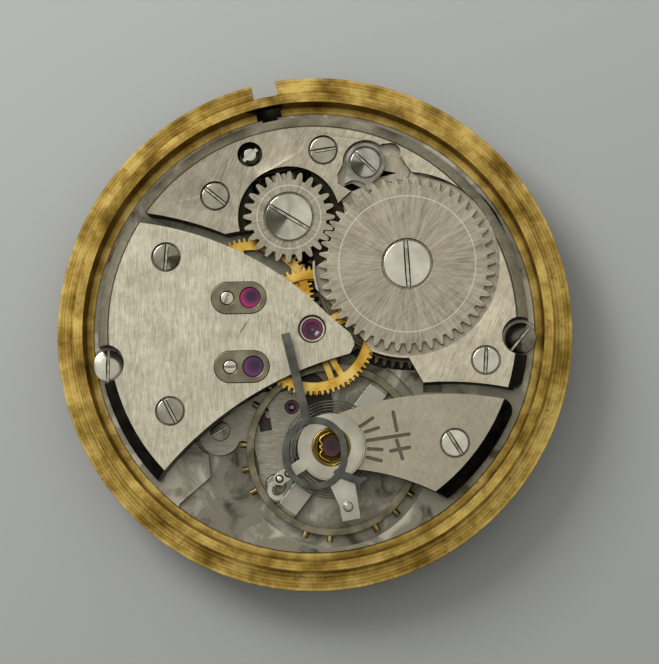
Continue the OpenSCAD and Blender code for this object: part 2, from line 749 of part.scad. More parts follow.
// Radius of a spiral at share q of its length; past share bend_from it swings out by bend_r
function spiral_r(q, r0, r1, bend_from, bend_r) =
    r0 + (r1 - r0) * q + (q > bend_from ? bend_r * pow((q - bend_from) / (1 - bend_from), 2) : 0);

// Both sides of a spiral strip of thickness t, from radius r0 to r1
function strip_points(r0, r1, turns, t, steps, start, bend_from = 1, bend_r = 0) =
    let (n = floor(turns * steps), turn = 360 * turns / n)
    concat(
        [for (i = [0:n]) (spiral_r(i / n, r0, r1, bend_from, bend_r) + t / 2)
            * ray(start + turn * i)],
        [for (i = [n:-1:0]) (spiral_r(i / n, r0, r1, bend_from, bend_r) - t / 2)
            * ray(start + turn * i)]);

module mainspring() {
    color("#7d8a99") translate([barrel_x, barrel_y, drum_z + 0.28])
        linear_extrude(drum_h - drum_cover_t - 0.36)
            polygon(strip_points(spring_hub_r + mainspring_t / 2 + 0.03,
                drum_d / 2 - drum_wall - mainspring_t / 2 - 0.03, mainspring_turns,
                mainspring_t, 30, 0));
}

module barrel_arbor() {
    color("#9a9a96") translate([barrel_x, barrel_y, 0]) difference() {
        arbor_body();
        translate([0, 0, big_head_seat - 1]) cylinder(r = 0.3, h = 2);
    }
}

module arbor_body() {
    union() {
        translate([0, 0, dial_z + 0.1]) cylinder(r = 0.5, h = drum_z + 0.2 - dial_z - 0.08);
        translate([0, 0, drum_z + 0.22]) cylinder(r = spring_hub_r,
            h = drum_h - drum_cover_t - 0.26);
        translate([0, 0, drum_z + 0.3]) cylinder(r = 0.75, h = ratchet_z - drum_z - 0.31);
        translate([-arbor_square / 2, -arbor_square / 2, ratchet_z - eps])
            cube([arbor_square, arbor_square, big_head_seat - ratchet_z + eps]);
    }
}

module winding_wheel(teeth, phase) {
    linear_extrude(winding_wheel_t)
        polygon(gear_points(teeth, winding_module, phase, 0.95, 1.35, 0.46, 1.52, 0.48));
}

module ratchet_wheel() {
    color("#8d897c") translate([barrel_x, barrel_y, ratchet_z]) difference() {
        winding_wheel(ratchet_teeth, ratchet_phase);
        translate([0, 0, big_head_seat - ratchet_z]) cylinder(d = big_head_d + 0.16, h = 1);
        translate([-arbor_square / 2 - fit, -arbor_square / 2 - fit, -1])
            cube([arbor_square + 2 * fit, arbor_square + 2 * fit, 3]);
    }
}

module ratchet_screw() {
    color("#d9d6cc") screw([barrel_x, barrel_y, -86.5], top_z + 0.04, big_head_d,
        top_z + 0.04 - big_head_seat, 0.56, 0.9, 0.32);
}

module crown_wheel() {
    color("#8d897c") translate([crown_at[0], crown_at[1], 0]) difference() {
        union() {
            translate([0, 0, ratchet_z]) winding_wheel(crown_teeth, crown_phase);
            translate([0, 0, crown_channel_z + 0.06]) linear_extrude(ratchet_z - crown_channel_z)
                difference() {
                    circle(r = crown_lower_r);
                    circle(r = crown_lower_r - crown_lower_w);
                    for (i = [0:crown_teeth - 1])
                        rotate(crown_phase + (i + 0.5) * 360 / crown_teeth)
                            translate([crown_lower_r - crown_lower_w - 0.1, -0.17])
                                square([crown_lower_w + 0.2, 0.34]);
                }
        }
        translate([0, 0, big_head_seat]) cylinder(d = big_head_d + 0.16, h = 1);
        translate([0, 0, ratchet_z - 1]) cylinder(r = crown_core_r + fit, h = 3);
    }
}

module crown_wheel_core() {
    color("#9a9a96") translate([crown_at[0], crown_at[1], recess_z]) difference() {
        cylinder(r = crown_core_r, h = big_head_seat - recess_z);
        translate([0, 0, -1]) cylinder(r = 0.35, h = 3);
    }
}

module crown_wheel_screw() {
    color("#d9d6cc") screw([crown_at[0], crown_at[1], -33], top_z + 0.04, big_head_d,
        top_z + 0.04 - big_head_seat, 0.66, big_head_seat - bridge_z, 0.24);
}

// The click: a round body with one beak in the ratchet's teeth and a second one beside it
module click() {
    color("#8f8f8a") translate([click_at[0], click_at[1], ratchet_z]) difference() {
        union() {
            linear_extrude(winding_wheel_t) {
                circle(r = 1.15);
                polygon([[-1.12, -0.25], [-1.16, -0.67], [-1.21, -1.22], [-0.81, -1.02],
                    [-0.43, -1.03], [-0.06, -1.23], [0.1, -1.32], [0.4, -1.16], [0.74, -0.88],
                    [0, 0]]);
            }
            translate([0, 0, winding_wheel_t - 0.13]) linear_extrude(0.13)
                polygon([[-0.06, -1.2], click_beak - [0.09, 0], click_beak + [0.09, 0],
                    [0.4, -1.1]]);
        }
        translate([0, 0, 0.2]) cylinder(r = 0.96, h = 1);
        translate([0, 0, -1]) cylinder(r = 0.3 + fit, h = 3);
    }
}

module click_screw() {
    color("#d9d6cc") screw([click_at[0], click_at[1], -42], top_z + 0.06, 1.8,
        top_z + 0.06 - ratchet_z - 0.22, 0.58, ratchet_z + 0.22 - bridge_z, 0.2);
}

module click_spring() {
    color("#a09d90") translate([0, 0, recess_z]) linear_extrude(0.09) difference() {
        union() {
            disc_at([4.72, 9.28], 0.79);
            bar([4.9, 9.15], [5.3, 9.05], 0.9);
        }
        polygon(spring_opening);
    }
}

// A pinion with its arbor: leaves from z0, pivots at both ends of the arbor
module pinion(leaves, module_mm, phase, z0, h) {
    translate([0, 0, z0]) linear_extrude(h) pinion_outline(leaves, module_mm, phase);
}

module centre_wheel() {
    color("#d9a93c") translate([0, 0, centre_z])
        spoked_wheel(centre_teeth, centre_module, centre_phase, 4, 0.9, 0.55, 20);
}

module centre_pinion() {
    color("#9a9a96") difference() {
        union() {
            pinion(centre_leaves, barrel_module, centre_leaf_phase, barrel_teeth_z - 0.1,
                centre_z - barrel_teeth_z + 0.1);
            translate([0, 0, cannon_z - 0.1]) cylinder(r = 0.55, h = centre_z + wheel_t - cannon_z + 0.1);
        }
        translate([0, 0, -1]) cylinder(r = fourth_arbor_r + 0.05, h = 8);
    }
}

module third_wheel() {
    color("#d9a93c") translate([third_x, third_y, third_z])
        spoked_wheel(third_teeth, third_module, third_phase, 4, 0.6, 0.2, 12);
}

module third_pinion() {
    color("#9a9a96") translate([third_x, third_y, 0]) {
        pinion(third_leaves, centre_module, third_leaf_phase, centre_z - 0.12,
            third_z - centre_z + 0.12);
        arbor(plate_top - 0.55, bridge_z + 0.24, 0.2, 0.08, 0.24);
    }
}

module fourth_wheel() {
    color("#e0b040") translate([0, 0, fourth_z])
        spoked_wheel(fourth_teeth, fourth_module, fourth_phase, 4, 0.75, fourth_arbor_r, 32);
}

module fourth_pinion() {
    color("#9a9a96") {
        pinion(fourth_leaves, third_module, fourth_leaf_phase, centre_z + wheel_t + 0.06,
            fourth_z - centre_z - wheel_t - 0.06);
        arbor(seconds_end_z, bridge_z + 0.3, fourth_arbor_r, seconds_d / 2, 0.3);
    }
}

// Club teeth: five points a tooth, leaning the way the wheel turns
function club_points(teeth, tip_r, root_r, phase) =
    let (step = 360 / teeth)
    [for (i = [0:teeth - 1], p = [[root_r, 0.12], [tip_r - 0.12, 0.42], [tip_r, 0.62],
            [tip_r - 0.03, 0.72], [root_r + 0.05, 0.4], [root_r, 0.3]])
        p[0] * ray(phase + (i + p[1]) * step)];

module escape_wheel() {
    color("#b9b9b2") translate([escape_x, escape_y, escape_z]) linear_extrude(wheel_t)
        difference() {
            union() {
                difference() {
                    polygon(club_points(escape_teeth, escape_r - 0.04, escape_r - 0.62, escape_phase));
                    circle(r = escape_r - 0.9);
                }
                for (i = [0:3]) rotate(45 + 90 * i)
                    translate([0, -0.13]) square([escape_r - 0.75, 0.26]);
                circle(r = 0.5);
            }
            circle(r = 0.15);
        }
}

module escape_pinion() {
    color("#9a9a96") translate([escape_x, escape_y, 0]) {
        pinion(escape_leaves, fourth_module, escape_leaf_phase, fourth_z - 0.05, wheel_t + 0.14);
        arbor(escape_z - 0.45, bridge_z + 0.24, 0.15, 0.06, 0.26);
    }
}

// The lever in its own frame: pallet axis at the origin, fork towards +X
module lever_frame(z) {
    translate([pallet_at[0], pallet_at[1], z]) rotate(line_angle + bank_angle) children();
}

module pallet_fork() {
    color("#a5a5a0") lever_frame(fork_z) {
        linear_extrude(fork_t) difference() {
            union() {
                bar([0, 0], [fork_l - 0.45, 0], 0.3);
                bar([fork_l - 0.5, -0.3], [fork_l + 0.1, -0.24], 0.16);
                bar([fork_l - 0.5, 0.3], [fork_l + 0.1, 0.24], 0.16);
                translate([fork_l - 0.62, -0.38]) square([0.3, 0.76]);
                for (s = [-1, 1]) bar([0, 0], pallet_arm * ray(180 - s * 62), 0.42);
                circle(r = 0.42);
            }
            circle(r = 0.12);
        }
        // guard pin under the fork
        translate([fork_l - 0.28, 0, -0.3]) linear_extrude(0.32)
            translate([-0.1, -0.07]) square([0.35, 0.14]);
    }
}

module pallet_stones() {
    color("#7a2860") lever_frame(fork_z - 0.04) linear_extrude(fork_t + 0.08)
        for (s = [-1, 1])
            translate(pallet_arm * ray(180 - s * 62)) rotate(180 + s * 30)
                translate([-0.15, s < 0 ? 0.22 : -0.44]) square([0.66, 0.22]);
}

module pallet_arbor() {
    color("#9a9a96") translate([pallet_at[0], pallet_at[1], 0])
        arbor(fork_z - 0.45, pallet_bridge_z + 0.3, 0.12, 0.05, 0.26);
}

module balance_wheel() {
    color("#b9a77a") translate([balance_x, balance_y, balance_z]) {
        difference() {
            cylinder(d = balance_d, h = balance_rim_h);
            translate([0, 0, -1]) cylinder(r = balance_d / 2 - balance_rim_w, h = 3);
        }
        translate([0, 0, balance_arm_up]) linear_extrude(balance_arm_t) difference() {
            union() {
                rotate(balance_arm_angle) square([balance_d - balance_rim_w, 1.2], center = true);
                circle(r = 0.85);
            }
            circle(r = 0.3);
        }
    }
}

module timing_screws() {
    color("#a8914f") translate([balance_x, balance_y, balance_z + balance_rim_h / 2])
        for (half = [0, 180], a = timing_angles)
            rotate(balance_arm_angle + half + a) translate([balance_d / 2, 0, 0])
                rotate([0, 90, 0]) {
                    difference() {
                        cylinder(d = timing_head_d, h = timing_out);
                        translate([-0.5, -0.03, timing_out - 0.08]) cube([1, 0.06, 1]);
                    }
                }
}

module balance_staff() {
    color("#9a9a96") translate([balance_x, balance_y, 0]) {
        translate([0, 0, staff_lower_z]) cylinder(r = 0.05, h = staff_upper_z - staff_lower_z);
        translate([0, 0, staff_lower_z + 0.2]) cylinder(r1 = 0.08, r2 = 0.2, h = 0.2);
        translate([0, 0, staff_lower_z + 0.4]) cylinder(r = 0.2,
            h = roller_z + roller_t - staff_lower_z - 0.4);
        translate([0, 0, roller_z + roller_t]) cylinder(r = 0.3,
            h = balance_z + balance_arm_up + balance_arm_t - roller_z - roller_t);
        translate([0, 0, balance_z + balance_arm_up]) cylinder(r = 0.24,
            h = hairspring_z + 0.3 - balance_z - balance_arm_up);
        translate([0, 0, hairspring_z + 0.29]) cylinder(r = 0.14, h = bridge_z - hairspring_z - 0.1);
    }
}

module impulse_roller() {
    color("#a5a5a0") translate([balance_x, balance_y, 0]) rotate(line_angle + 180) {
        difference() {
            union() {
                translate([0, 0, roller_z]) cylinder(r = roller_r, h = roller_t);
                translate([0, 0, fork_z - 0.28]) cylinder(r = 0.42, h = 0.23);
                translate([0, 0, fork_z - 0.28]) cylinder(r = 0.28, h = roller_z - fork_z + 0.3);
            }
            translate([0, 0, fork_z - 1]) cylinder(r = 0.2, h = 4);
            translate([0.62, 0, fork_z - 0.4]) cylinder(r = 0.3, h = 0.36);
        }
        translate([impulse_r, 0, fork_z - 0.02]) cylinder(r = 0.11, h = roller_z - fork_z + 0.04);
    }
}

// The hairspring starts at the collet and ends at the stud
module hairspring() {
    gap = (hairspring_r - hair_inner_r) / hairspring_turns - hairspring_t;
    echo(hairspring_gap_mm = gap);
    color("#5f6f86") translate([balance_x, balance_y, hairspring_z]) linear_extrude(hairspring_h)
        polygon(strip_points(hair_inner_r, hairspring_r, hairspring_turns, hairspring_t, 48,
            stud_angle - 360 * hairspring_turns, 1 - 0.12 / hairspring_turns,
            stud_r - stud_pin_r - hairspring_r));
}

module hairspring_collet() {
    color("#b99b4a") translate([balance_x, balance_y, hairspring_z - 0.08]) difference() {
        cylinder(r = hair_inner_r - 0.06, h = 0.32);
        translate([0, 0, -1]) cylinder(r = 0.24, h = 3);
        rotate(200) translate([0.2, -0.04, -1]) cube([1, 0.08, 3]);
    }
}

// Ring round the shock setting with the wide arm that holds the hairspring's stud
module stud_carrier() {
    color("#cfcabb") translate([balance_x, balance_y, 0]) {
        translate([0, 0, carrier_z]) difference() {
            linear_extrude(0.14) {
                circle(d = carrier_ring_d);
                polygon([[-0.35, -1.7], [0.39, -3.36], [0.57, -4.29], [1.62, -4.11],
                    [1.33, -2.02], [1.1, -1.5]]);
            }
            translate([0, 0, -1]) cylinder(d = shock_d + 2 * ring_slip, h = 3);
        }
        rotate(stud_angle) translate([stud_r, 0, 0]) {
            translate([0, 0, hairspring_z + 0.02]) cylinder(r = stud_pin_r,
                h = carrier_z + 0.3 - hairspring_z - 0.02);
            translate([0, 0, carrier_z + 0.13]) cylinder(r1 = 0.3, r2 = 0.16, h = 0.2);
        }
    }
}

// Ring with the short arm that carries the two curb pins
module index_regulator() {
    color("#d5d1c4") translate([balance_x, balance_y, 0]) {
        translate([0, 0, index_z]) difference() {
            linear_extrude(0.16) {
                circle(d = index_ring_d);
                bar([0, 0], index_arm_l * ray(index_angle), 0.69);
            }
            translate([0, 0, -1]) cylinder(d = shock_d + 2 * ring_slip, h = 3);
        }
        for (r = curb_radii) translate([r * cos(index_angle), r * sin(index_angle), 0]) {
            translate([0, 0, hairspring_z]) cylinder(r = 0.1, h = index_z + 0.1 - hairspring_z);
            translate([0, 0, index_z + 0.15]) cylinder(r = 0.24, h = 0.06);
        }
        // the polished hook at the arm's end
        translate([0, 0, index_z]) linear_extrude(0.12) rotate(index_angle)
            translate(index_hook) difference() {
                circle(r = 0.58);
                circle(r = 0.33);
                polygon([[0, 0], [-0.25, 1], [-1, 1], [-1, -0.2]]);
            }
    }
}

// The dark grey lever: its ring lies beside its seat, and its tail crosses the train bridge
module regulator_lever() {
    color("#4a4c48") translate([balance_x, balance_y, lever_z]) linear_extrude(0.18) {
        difference() {
            bar(lever_ring_off - [0, 0.22], lever_ring_off + [0, 0.22], lever_ring_d);
            bar(lever_ring_off - [0, 0.24], lever_ring_off + [0, 0.24], lever_ring_d - 0.8);
        }
        strip([-1.33, 1.45], lever_tail, 0.5);
        bar(lever_ring_off + 1.7 * ray(-42), lever_fork, 0.44);
        bar(lever_fork, lever_fork + [0.36, 0.1], 0.25);
        bar(lever_fork, lever_fork + [-0.01, -0.62], 0.22);
    }
}

// Cups that hold the balance's jewels, one in the cock and one in the plate
module shock_settings() {
    color("#c9a850") {
        translate([balance_x, balance_y, 0]) difference() {
            union() {
                translate([0, 0, bridge_z]) cylinder(d = shock_d - 0.24, h = bridge_t);
                translate([0, 0, top_z]) cylinder(d = shock_d, h = shock_up);
            }
            translate([0, 0, top_z + 0.1]) cylinder(r = shock_d / 2 - 0.12, h = 1);
            translate([0, 0, bridge_z + 0.32]) cylinder(r = 0.8, h = 3);
            translate([0, 0, bridge_z - 1]) cylinder(r = 0.3, h = 3);
        }
        translate([balance_x, balance_y, dial_z]) difference() {
            cylinder(r = 0.78, h = 0.5);
            translate([0, 0, -1]) cylinder(r = 0.58, h = 1.3);
            translate([0, 0, -1]) cylinder(r = 0.3, h = 3);
        }
    }
}

module shock_springs() {
    color("#e6c75a") translate([balance_x, balance_y, top_z + shock_up - 0.16]) linear_extrude(0.06) {
        difference() {
            circle(r = 0.79);
            circle(r = 0.66);
        }
        for (a = [60, 180, 300]) rotate(a) {
            strip([0.7, 0], [shock_d / 2 - 0.14, 0], 0.3);
            bar([0.7, 0], [0.36, 0.16], 0.1);
            bar([0.36, 0.16], [0.42, -0.2], 0.1);
        }
    }
}

module shock_jewels() {
    color("#8a1c50") translate([balance_x, balance_y, 0]) {
        translate([0, 0, bridge_z + 0.34]) difference() {
            cylinder(r = 0.76, h = 0.2);
            translate([0, 0, -1]) cylinder(r = 0.07, h = 3);
        }
        translate([0, 0, staff_upper_z + 0.03])
            cylinder(r = 0.6, h = top_z + shock_up - 0.18 - staff_upper_z - 0.03);
        translate([0, 0, dial_z + 0.1]) cylinder(r = 0.56, h = staff_lower_z - dial_z - 0.12);
    }
}

// Rings of synthetic ruby pressed into the bridges and the plate
module jewel(at, z, r, h, hole_r) {
    translate([at[0], at[1], z]) difference() {
        cylinder(r = r, h = h);
        translate([0, 0, -1]) cylinder(r = hole_r, h = h + 2);
    }
}

module train_jewels() {
    color("#7a2860") {
        jewel(centre_at, bridge_z + 0.05, 0.62, bridge_t - 0.22, seconds_d / 2 + fit);
        jewel(third_at, bridge_z + 0.05, 0.58, 0.3, 0.08 + fit);
        jewel(escape_at, bridge_z + 0.05, 0.58, 0.3, 0.06 + fit);
        jewel(third_at, plate_top - 0.65, 0.58, 0.3, 0.08 + fit);
        jewel(escape_at, dial_z + 0.3, 0.48, escape_z - 0.2 - dial_z - 0.3, 0.06 + fit);
        jewel(pallet_at, dial_z + 0.3, 0.48, fork_z - 0.2 - dial_z - 0.3, 0.05 + fit);
        jewel(pallet_at, pallet_bridge_z + 0.08, 0.4, 0.26, 0.05 + fit);
    }
}

module cap_plates() {
    color("#8e8a70") for (p = cap_plate_places)
        translate([p[0], p[1], top_z - cap_plate_t]) difference() {
            linear_extrude(cap_plate_t + 0.03) translate([cap_shift, 0]) cap_plate_outline();
            translate([0, 0, -1]) cylinder(r = 0.6, h = 3);
            translate([-cap_screw_back, 0, -1]) cylinder(r = 0.2, h = 3);
            translate([-cap_screw_back, 0, cap_plate_t - 0.12])
                cylinder(r = 0.4, h = 3);
        }
}

module cap_plate_screws() {
    color("#d9d6cc") for (p = cap_plate_places)
        screw([p[0] - cap_screw_back, p[1], 5], top_z + 0.06, 0.74, 0.17, 0.36,
            0.4, 0.1);
}

module cap_jewels() {
    color("#7a2860") for (p = cap_plate_places)
        translate([p[0], p[1], top_z - cap_plate_t]) cylinder(r = 0.58, h = cap_plate_t);
}

// A pinion of the winding work, lying along the stem, between two distances from the centre
module stem_pinion(from, to, r, teeth, turn, bore_r) {
    stem_frame() translate([0, 0, from]) difference() {
        linear_extrude(to - from) difference() {
            circle(r = r);
            for (i = [0:teeth - 1]) rotate(turn + (i + 0.5) * 360 / teeth)
                translate([r - 0.36, -0.17]) square([1, 0.34]);
        }
        translate([0, 0, -1]) cylinder(r = bore_r, h = to - from + 2);
    }
}

module winding_pinion() {
    color("#a5a5a0") stem_pinion(winding_from, winding_to, winding_d / 2, winding_teeth,
        winding_phase, stem_hole_r);
}

// The sliding pinion: face teeth towards the winding pinion, a groove for the yoke, and
// setting teeth at its inner end
module sliding_pinion() {
    color("#a5a5a0") difference() {
        stem_frame() translate([0, 0, sliding_from]) {
            cylinder(r = sliding_r, h = 0.24);
            cylinder(r = sliding_r - 0.3, h = sliding_to - sliding_from);
            translate([0, 0, 0.54]) cylinder(r = sliding_r, h = sliding_to - sliding_from - 0.54);
        }
        stem_frame() {
            cylinder(r = stem_hole_r, h = 12);
            for (i = [0:11]) rotate(i * 30) translate([sliding_r - 0.2, -0.14, sliding_from - 1])
                cube([1, 0.28, 1.24]);
            for (i = [0:11]) rotate(i * 30) translate([0, -0.12, sliding_to - 0.16])
                cube([3, 0.24, 1]);
        }
    }
}

module setting_lever() {
    color("#9a9a96") translate([0, 0, lever_side_z]) linear_extrude(0.22) difference() {
        union() {
            bar(setting_lever_at, 10.8 * ray(stem_angle) + [0.3, 0.2], 0.9);
            bar(setting_lever_at, setting_lever_at + [-1.3, -1.7], 0.8);
            disc_at(setting_lever_at, 0.85);
        }
        disc_at(setting_lever_at, 0.38 + fit);
    }
}

module yoke() {
    color("#9a9a96") translate([0, 0, lever_side_z - 0.28]) linear_extrude(0.22) difference() {
        union() {
            bar(yoke_at, yoke_at + [2.6, -0.9], 0.7);
            bar(yoke_at, yoke_at + [-0.3, 1.7], 0.6);
            disc_at(yoke_at, 0.7);
        }
        disc_at(yoke_at, 0.3 + fit);
    }
}

module setting_cover() {
    color("#b5b0a2") difference() {
        union() {
            translate([0, 0, lever_side_z - 0.6]) linear_extrude(0.25) {
                bar(yoke_at, cover_screw_at, 1.6);
                bar(cover_screw_at, setting_lever_at + [-0.6, -0.2], 0.5);
                bar(yoke_at, setting_from * ray(stem_angle), 1.2);
            }
            for (at = [yoke_at, cover_screw_at])
                translate([at[0], at[1], lever_side_z - 0.36])
                    cylinder(r = 0.3, h = dial_z - lever_side_z + 0.36);
        }
        translate([cover_screw_at[0], cover_screw_at[1], -1]) cylinder(r = 0.2 + fit, h = 4);
    }
}

module dial_side_screws() {
    color("#d9d6cc") translate([cover_screw_at[0], cover_screw_at[1], 0]) {
        difference() {
            translate([0, 0, lever_side_z - 0.8]) cylinder(r = 0.55, h = 0.2);
            translate([-1, -0.07, lever_side_z - 1]) cube([2, 0.14, 0.28]);
        }
        translate([0, 0, lever_side_z - 0.61]) cylinder(r = 0.2, h = dial_z - lever_side_z + 0.6);
    }
}

module setting_wheel() {
    color("#a5a5a0") rotate(stem_angle) translate([setting_from, 0, setting_wheel_z])
        linear_extrude(setting_wheel_t) difference() {
            wheel_outline(setting_teeth, cannon_module, setting_phase - stem_angle);
            circle(r = setting_post_r + fit);
        }
}

module minute_wheel() {
    color("#d9a93c") translate([minute_at[0], minute_at[1], 0]) difference() {
        union() {
            translate([0, 0, cannon_z + 0.75]) linear_extrude(0.2)
                wheel_outline(minute_teeth, cannon_module, minute_phase);
            translate([0, 0, hour_z - 0.05]) linear_extrude(cannon_z + 0.8 - hour_z)
                pinion_outline(minute_leaves, hour_module, minute_leaf_phase);
        }
        translate([0, 0, -1]) cylinder(r = minute_post_r + fit, h = 5);
    }
}

module cannon_pinion() {
    color("#9a9a96") difference() {
        union() {
            translate([0, 0, cannon_z + 0.6]) linear_extrude(dial_z - cannon_z - 0.65)
                pinion_outline(cannon_leaves, cannon_module, cannon_phase);
            translate([0, 0, cannon_end_z]) cylinder(d = cannon_pipe_d,
                h = cannon_z + 0.61 - cannon_end_z);
        }
        translate([0, 0, -1]) cylinder(r = 0.55 + fit, h = 5);
    }
}

module hour_wheel() {
    color("#d9a93c") difference() {
        union() {
            translate([0, 0, hour_z]) linear_extrude(0.18)
                wheel_outline(hour_teeth, hour_module, hour_phase);
            translate([0, 0, hour_end_z]) cylinder(d = hour_pipe_d, h = hour_z - hour_end_z + 0.1);
        }
        translate([0, 0, -1]) cylinder(d = cannon_pipe_d + 0.06, h = 5);
    }
}

// Derived values of the winding work
winding_from = 8.35;
winding_to = 9.3;
sliding_from = 7.4;
sliding_to = 8.3;
sliding_r = 1.35;
crown_lower_r = 2.42;
crown_lower_w = 0.5;
crown_channel_z = recess_z - 0.17;
crown_sink_r = crown_teeth * winding_module / 2 + 0.5;
ratchet_sink_r = ratchet_teeth * winding_module / 2 + 0.42;
crown_core_r = 1.1;
big_head_seat = ratchet_z + 0.16;
arbor_square = 1;
spring_hub_r = 1.3;
drum_cover_t = 0.15;

// Derived values of the escapement and the balance
escape_phase = line_angle - 30 - 0.62 * 360 / escape_teeth;
bank_angle = 0;
pallet_arm = 1.42;
balance_arm_up = 0.12;
balance_arm_t = 0.15;
staff_lower_z = fork_z - 0.75;
staff_upper_z = bridge_z + 0.56;
shock_up = 0.35;
ring_slip = 0.03;
hair_inner_r = 0.6;
stud_angle = -75;
stud_r = 3.56;
stud_pin_r = 0.24;
index_angle = 210.8;
index_arm_l = 3.5;
index_hook = [3.92, 0.49];
curb_radii = [3.48, 2.88];
lever_ring_off = [-0.93, -0.36];
lever_tail = [-2.53, 6.57];
lever_fork = [1.55, -1.98];
fourth_arbor_r = 0.2;
seconds_end_z = 0.1;

// Derived values of the bridges' trim
cap_plate_t = 0.32;
cap_shift = 0.95;
spring_opening = [[4.2, 9.19], [5.02, 9.02], [4.08, 8.81]];
cock_marks = [[[2.68, -5.69], [3.41, -5.22]], [[2.99, -6.01], [3.72, -5.79]],
    [[3.1, -6.5], [5.47, -6.18]], [[3.14, -6.98], [3.9, -7.04]], [[3.05, -7.46], [3.85, -7.68]]];
cock_signs = [[[4.59, -4.9], [4.78, -5.96]], [[4.77, -6.52], [5.08, -7.58]],
    [[4.41, -7.13], [5.49, -6.94]]];

// Derived values of the dial side
cannon_z = dial_z - 1.2;
cannon_end_z = 0.25;
hour_z = cannon_z + 0.25;
hour_end_z = 0.5;
lever_side_z = dial_z - 0.26;
yoke_at = [-5.6, 8.2];
cover_screw_at = [-5.2, 5];
setting_teeth = 16;
setting_r = setting_teeth * cannon_module / 2;
setting_from = minute_from_centre + cannon_module * (minute_teeth + setting_teeth) / 2;
setting_wheel_z = cannon_z + 0.78;
setting_wheel_t = 0.95;
setting_post_r = 0.25;
minute_post_r = 0.2;
setting_phase = mesh_phase(minute_at, setting_from * ray(stem_angle), minute_phase,
    minute_teeth, setting_teeth);
dial_foot_from = 11.4;
dial_foot_angles = [60, 240];

casing_ring();
main_plate();
barrel_bridge();
train_bridge();
balance_cock();
pallet_bridge();
bridge_screws();
pallet_bridge_screws();
casing_screws();
setting_lever_screw();
barrel_drum();
barrel_cover();
mainspring();
barrel_arbor();
ratchet_wheel();
ratchet_screw();
crown_wheel();
crown_wheel_core();
crown_wheel_screw();
click();
click_screw();
click_spring();
centre_wheel();
centre_pinion();
third_wheel();
third_pinion();
fourth_wheel();
fourth_pinion();
escape_wheel();
escape_pinion();
pallet_fork();
pallet_stones();
pallet_arbor();
balance_wheel();
timing_screws();
balance_staff();
impulse_roller();
hairspring();
hairspring_collet();
stud_carrier();
index_regulator();
regulator_lever();
shock_settings();
shock_springs();
shock_jewels();
train_jewels();
cap_plates();
cap_plate_screws();
cap_jewels();
winding_pinion();
sliding_pinion();
setting_lever();
yoke();
setting_cover();
dial_side_screws();
setting_wheel();
minute_wheel();
cannon_pinion();
hour_wheel();
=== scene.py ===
"""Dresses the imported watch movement: finishes, screws, jewels, springs, table and light."""

import json
import logging
import math
from dataclasses import dataclass, replace
from enum import Enum
from functools import partial
from itertools import cycle
from typing import Any, Callable, Sequence

import bpy
from mathutils import Matrix, Vector

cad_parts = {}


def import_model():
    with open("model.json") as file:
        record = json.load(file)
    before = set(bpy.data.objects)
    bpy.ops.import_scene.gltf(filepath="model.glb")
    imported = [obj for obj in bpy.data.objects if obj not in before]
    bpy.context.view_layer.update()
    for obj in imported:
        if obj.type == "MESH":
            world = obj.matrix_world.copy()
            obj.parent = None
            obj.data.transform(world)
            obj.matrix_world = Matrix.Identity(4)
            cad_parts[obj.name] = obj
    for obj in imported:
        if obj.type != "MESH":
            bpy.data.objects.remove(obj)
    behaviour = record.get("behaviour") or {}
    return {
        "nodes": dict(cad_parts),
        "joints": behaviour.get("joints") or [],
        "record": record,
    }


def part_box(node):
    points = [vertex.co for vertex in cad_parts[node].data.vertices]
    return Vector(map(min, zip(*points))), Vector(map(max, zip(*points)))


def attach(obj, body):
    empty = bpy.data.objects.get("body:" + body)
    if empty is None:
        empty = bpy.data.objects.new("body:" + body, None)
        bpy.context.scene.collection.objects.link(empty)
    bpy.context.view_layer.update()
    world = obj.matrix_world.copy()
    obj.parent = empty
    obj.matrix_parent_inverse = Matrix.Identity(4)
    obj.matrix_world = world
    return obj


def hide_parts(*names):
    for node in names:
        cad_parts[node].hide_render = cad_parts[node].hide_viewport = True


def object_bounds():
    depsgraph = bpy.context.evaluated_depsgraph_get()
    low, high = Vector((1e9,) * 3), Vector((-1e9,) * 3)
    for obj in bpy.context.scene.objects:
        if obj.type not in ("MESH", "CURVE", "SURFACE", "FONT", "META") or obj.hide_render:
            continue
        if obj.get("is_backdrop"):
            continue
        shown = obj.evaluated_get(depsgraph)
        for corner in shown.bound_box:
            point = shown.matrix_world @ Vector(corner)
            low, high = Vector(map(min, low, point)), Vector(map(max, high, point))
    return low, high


LOG = logging.getLogger("watch_movement")
MM = 0.001
# corners of the CAD's triangles closer than this, in millimetres, are one corner
MERGE_MM = 0.0005

Point = tuple[float, float]
Add = Callable[..., bpy.types.Node]


class Slot(Enum):
    """The record's material slots."""

    CASING_RING = "casing_ring"
    MAIN_PLATE = "main_plate"
    BRIDGE = "bridge"
    SCREW = "screw"
    WINDING_STEEL = "winding_steel"
    STEEL = "steel"
    DARK_LEVER = "dark_lever"
    SPRING_STEEL = "spring_steel"
    WHEEL_BRASS = "wheel_brass"
    BALANCE_ALLOY = "balance_alloy"
    TIMING_BRASS = "timing_brass"
    RUBY = "ruby"
    CAP_PLATE = "cap_plate"
    SHOCK_BRASS = "shock_brass"


def linear(hex_colour: str) -> tuple[float, float, float, float]:
    """Turn an sRGB hex colour into the linear colour that shaders use.

    Args:
        hex_colour: Six hex digits with a leading hash sign.

    Returns:
        Red, green, blue and alpha, linear.
    """
    parts = [int(hex_colour[i : i + 2], 16) / 255 for i in (1, 3, 5)]
    red, green, blue = (c / 12.92 if c <= 0.04045 else ((c + 0.055) / 1.055) ** 2.4 for c in parts)
    return red, green, blue, 1.0


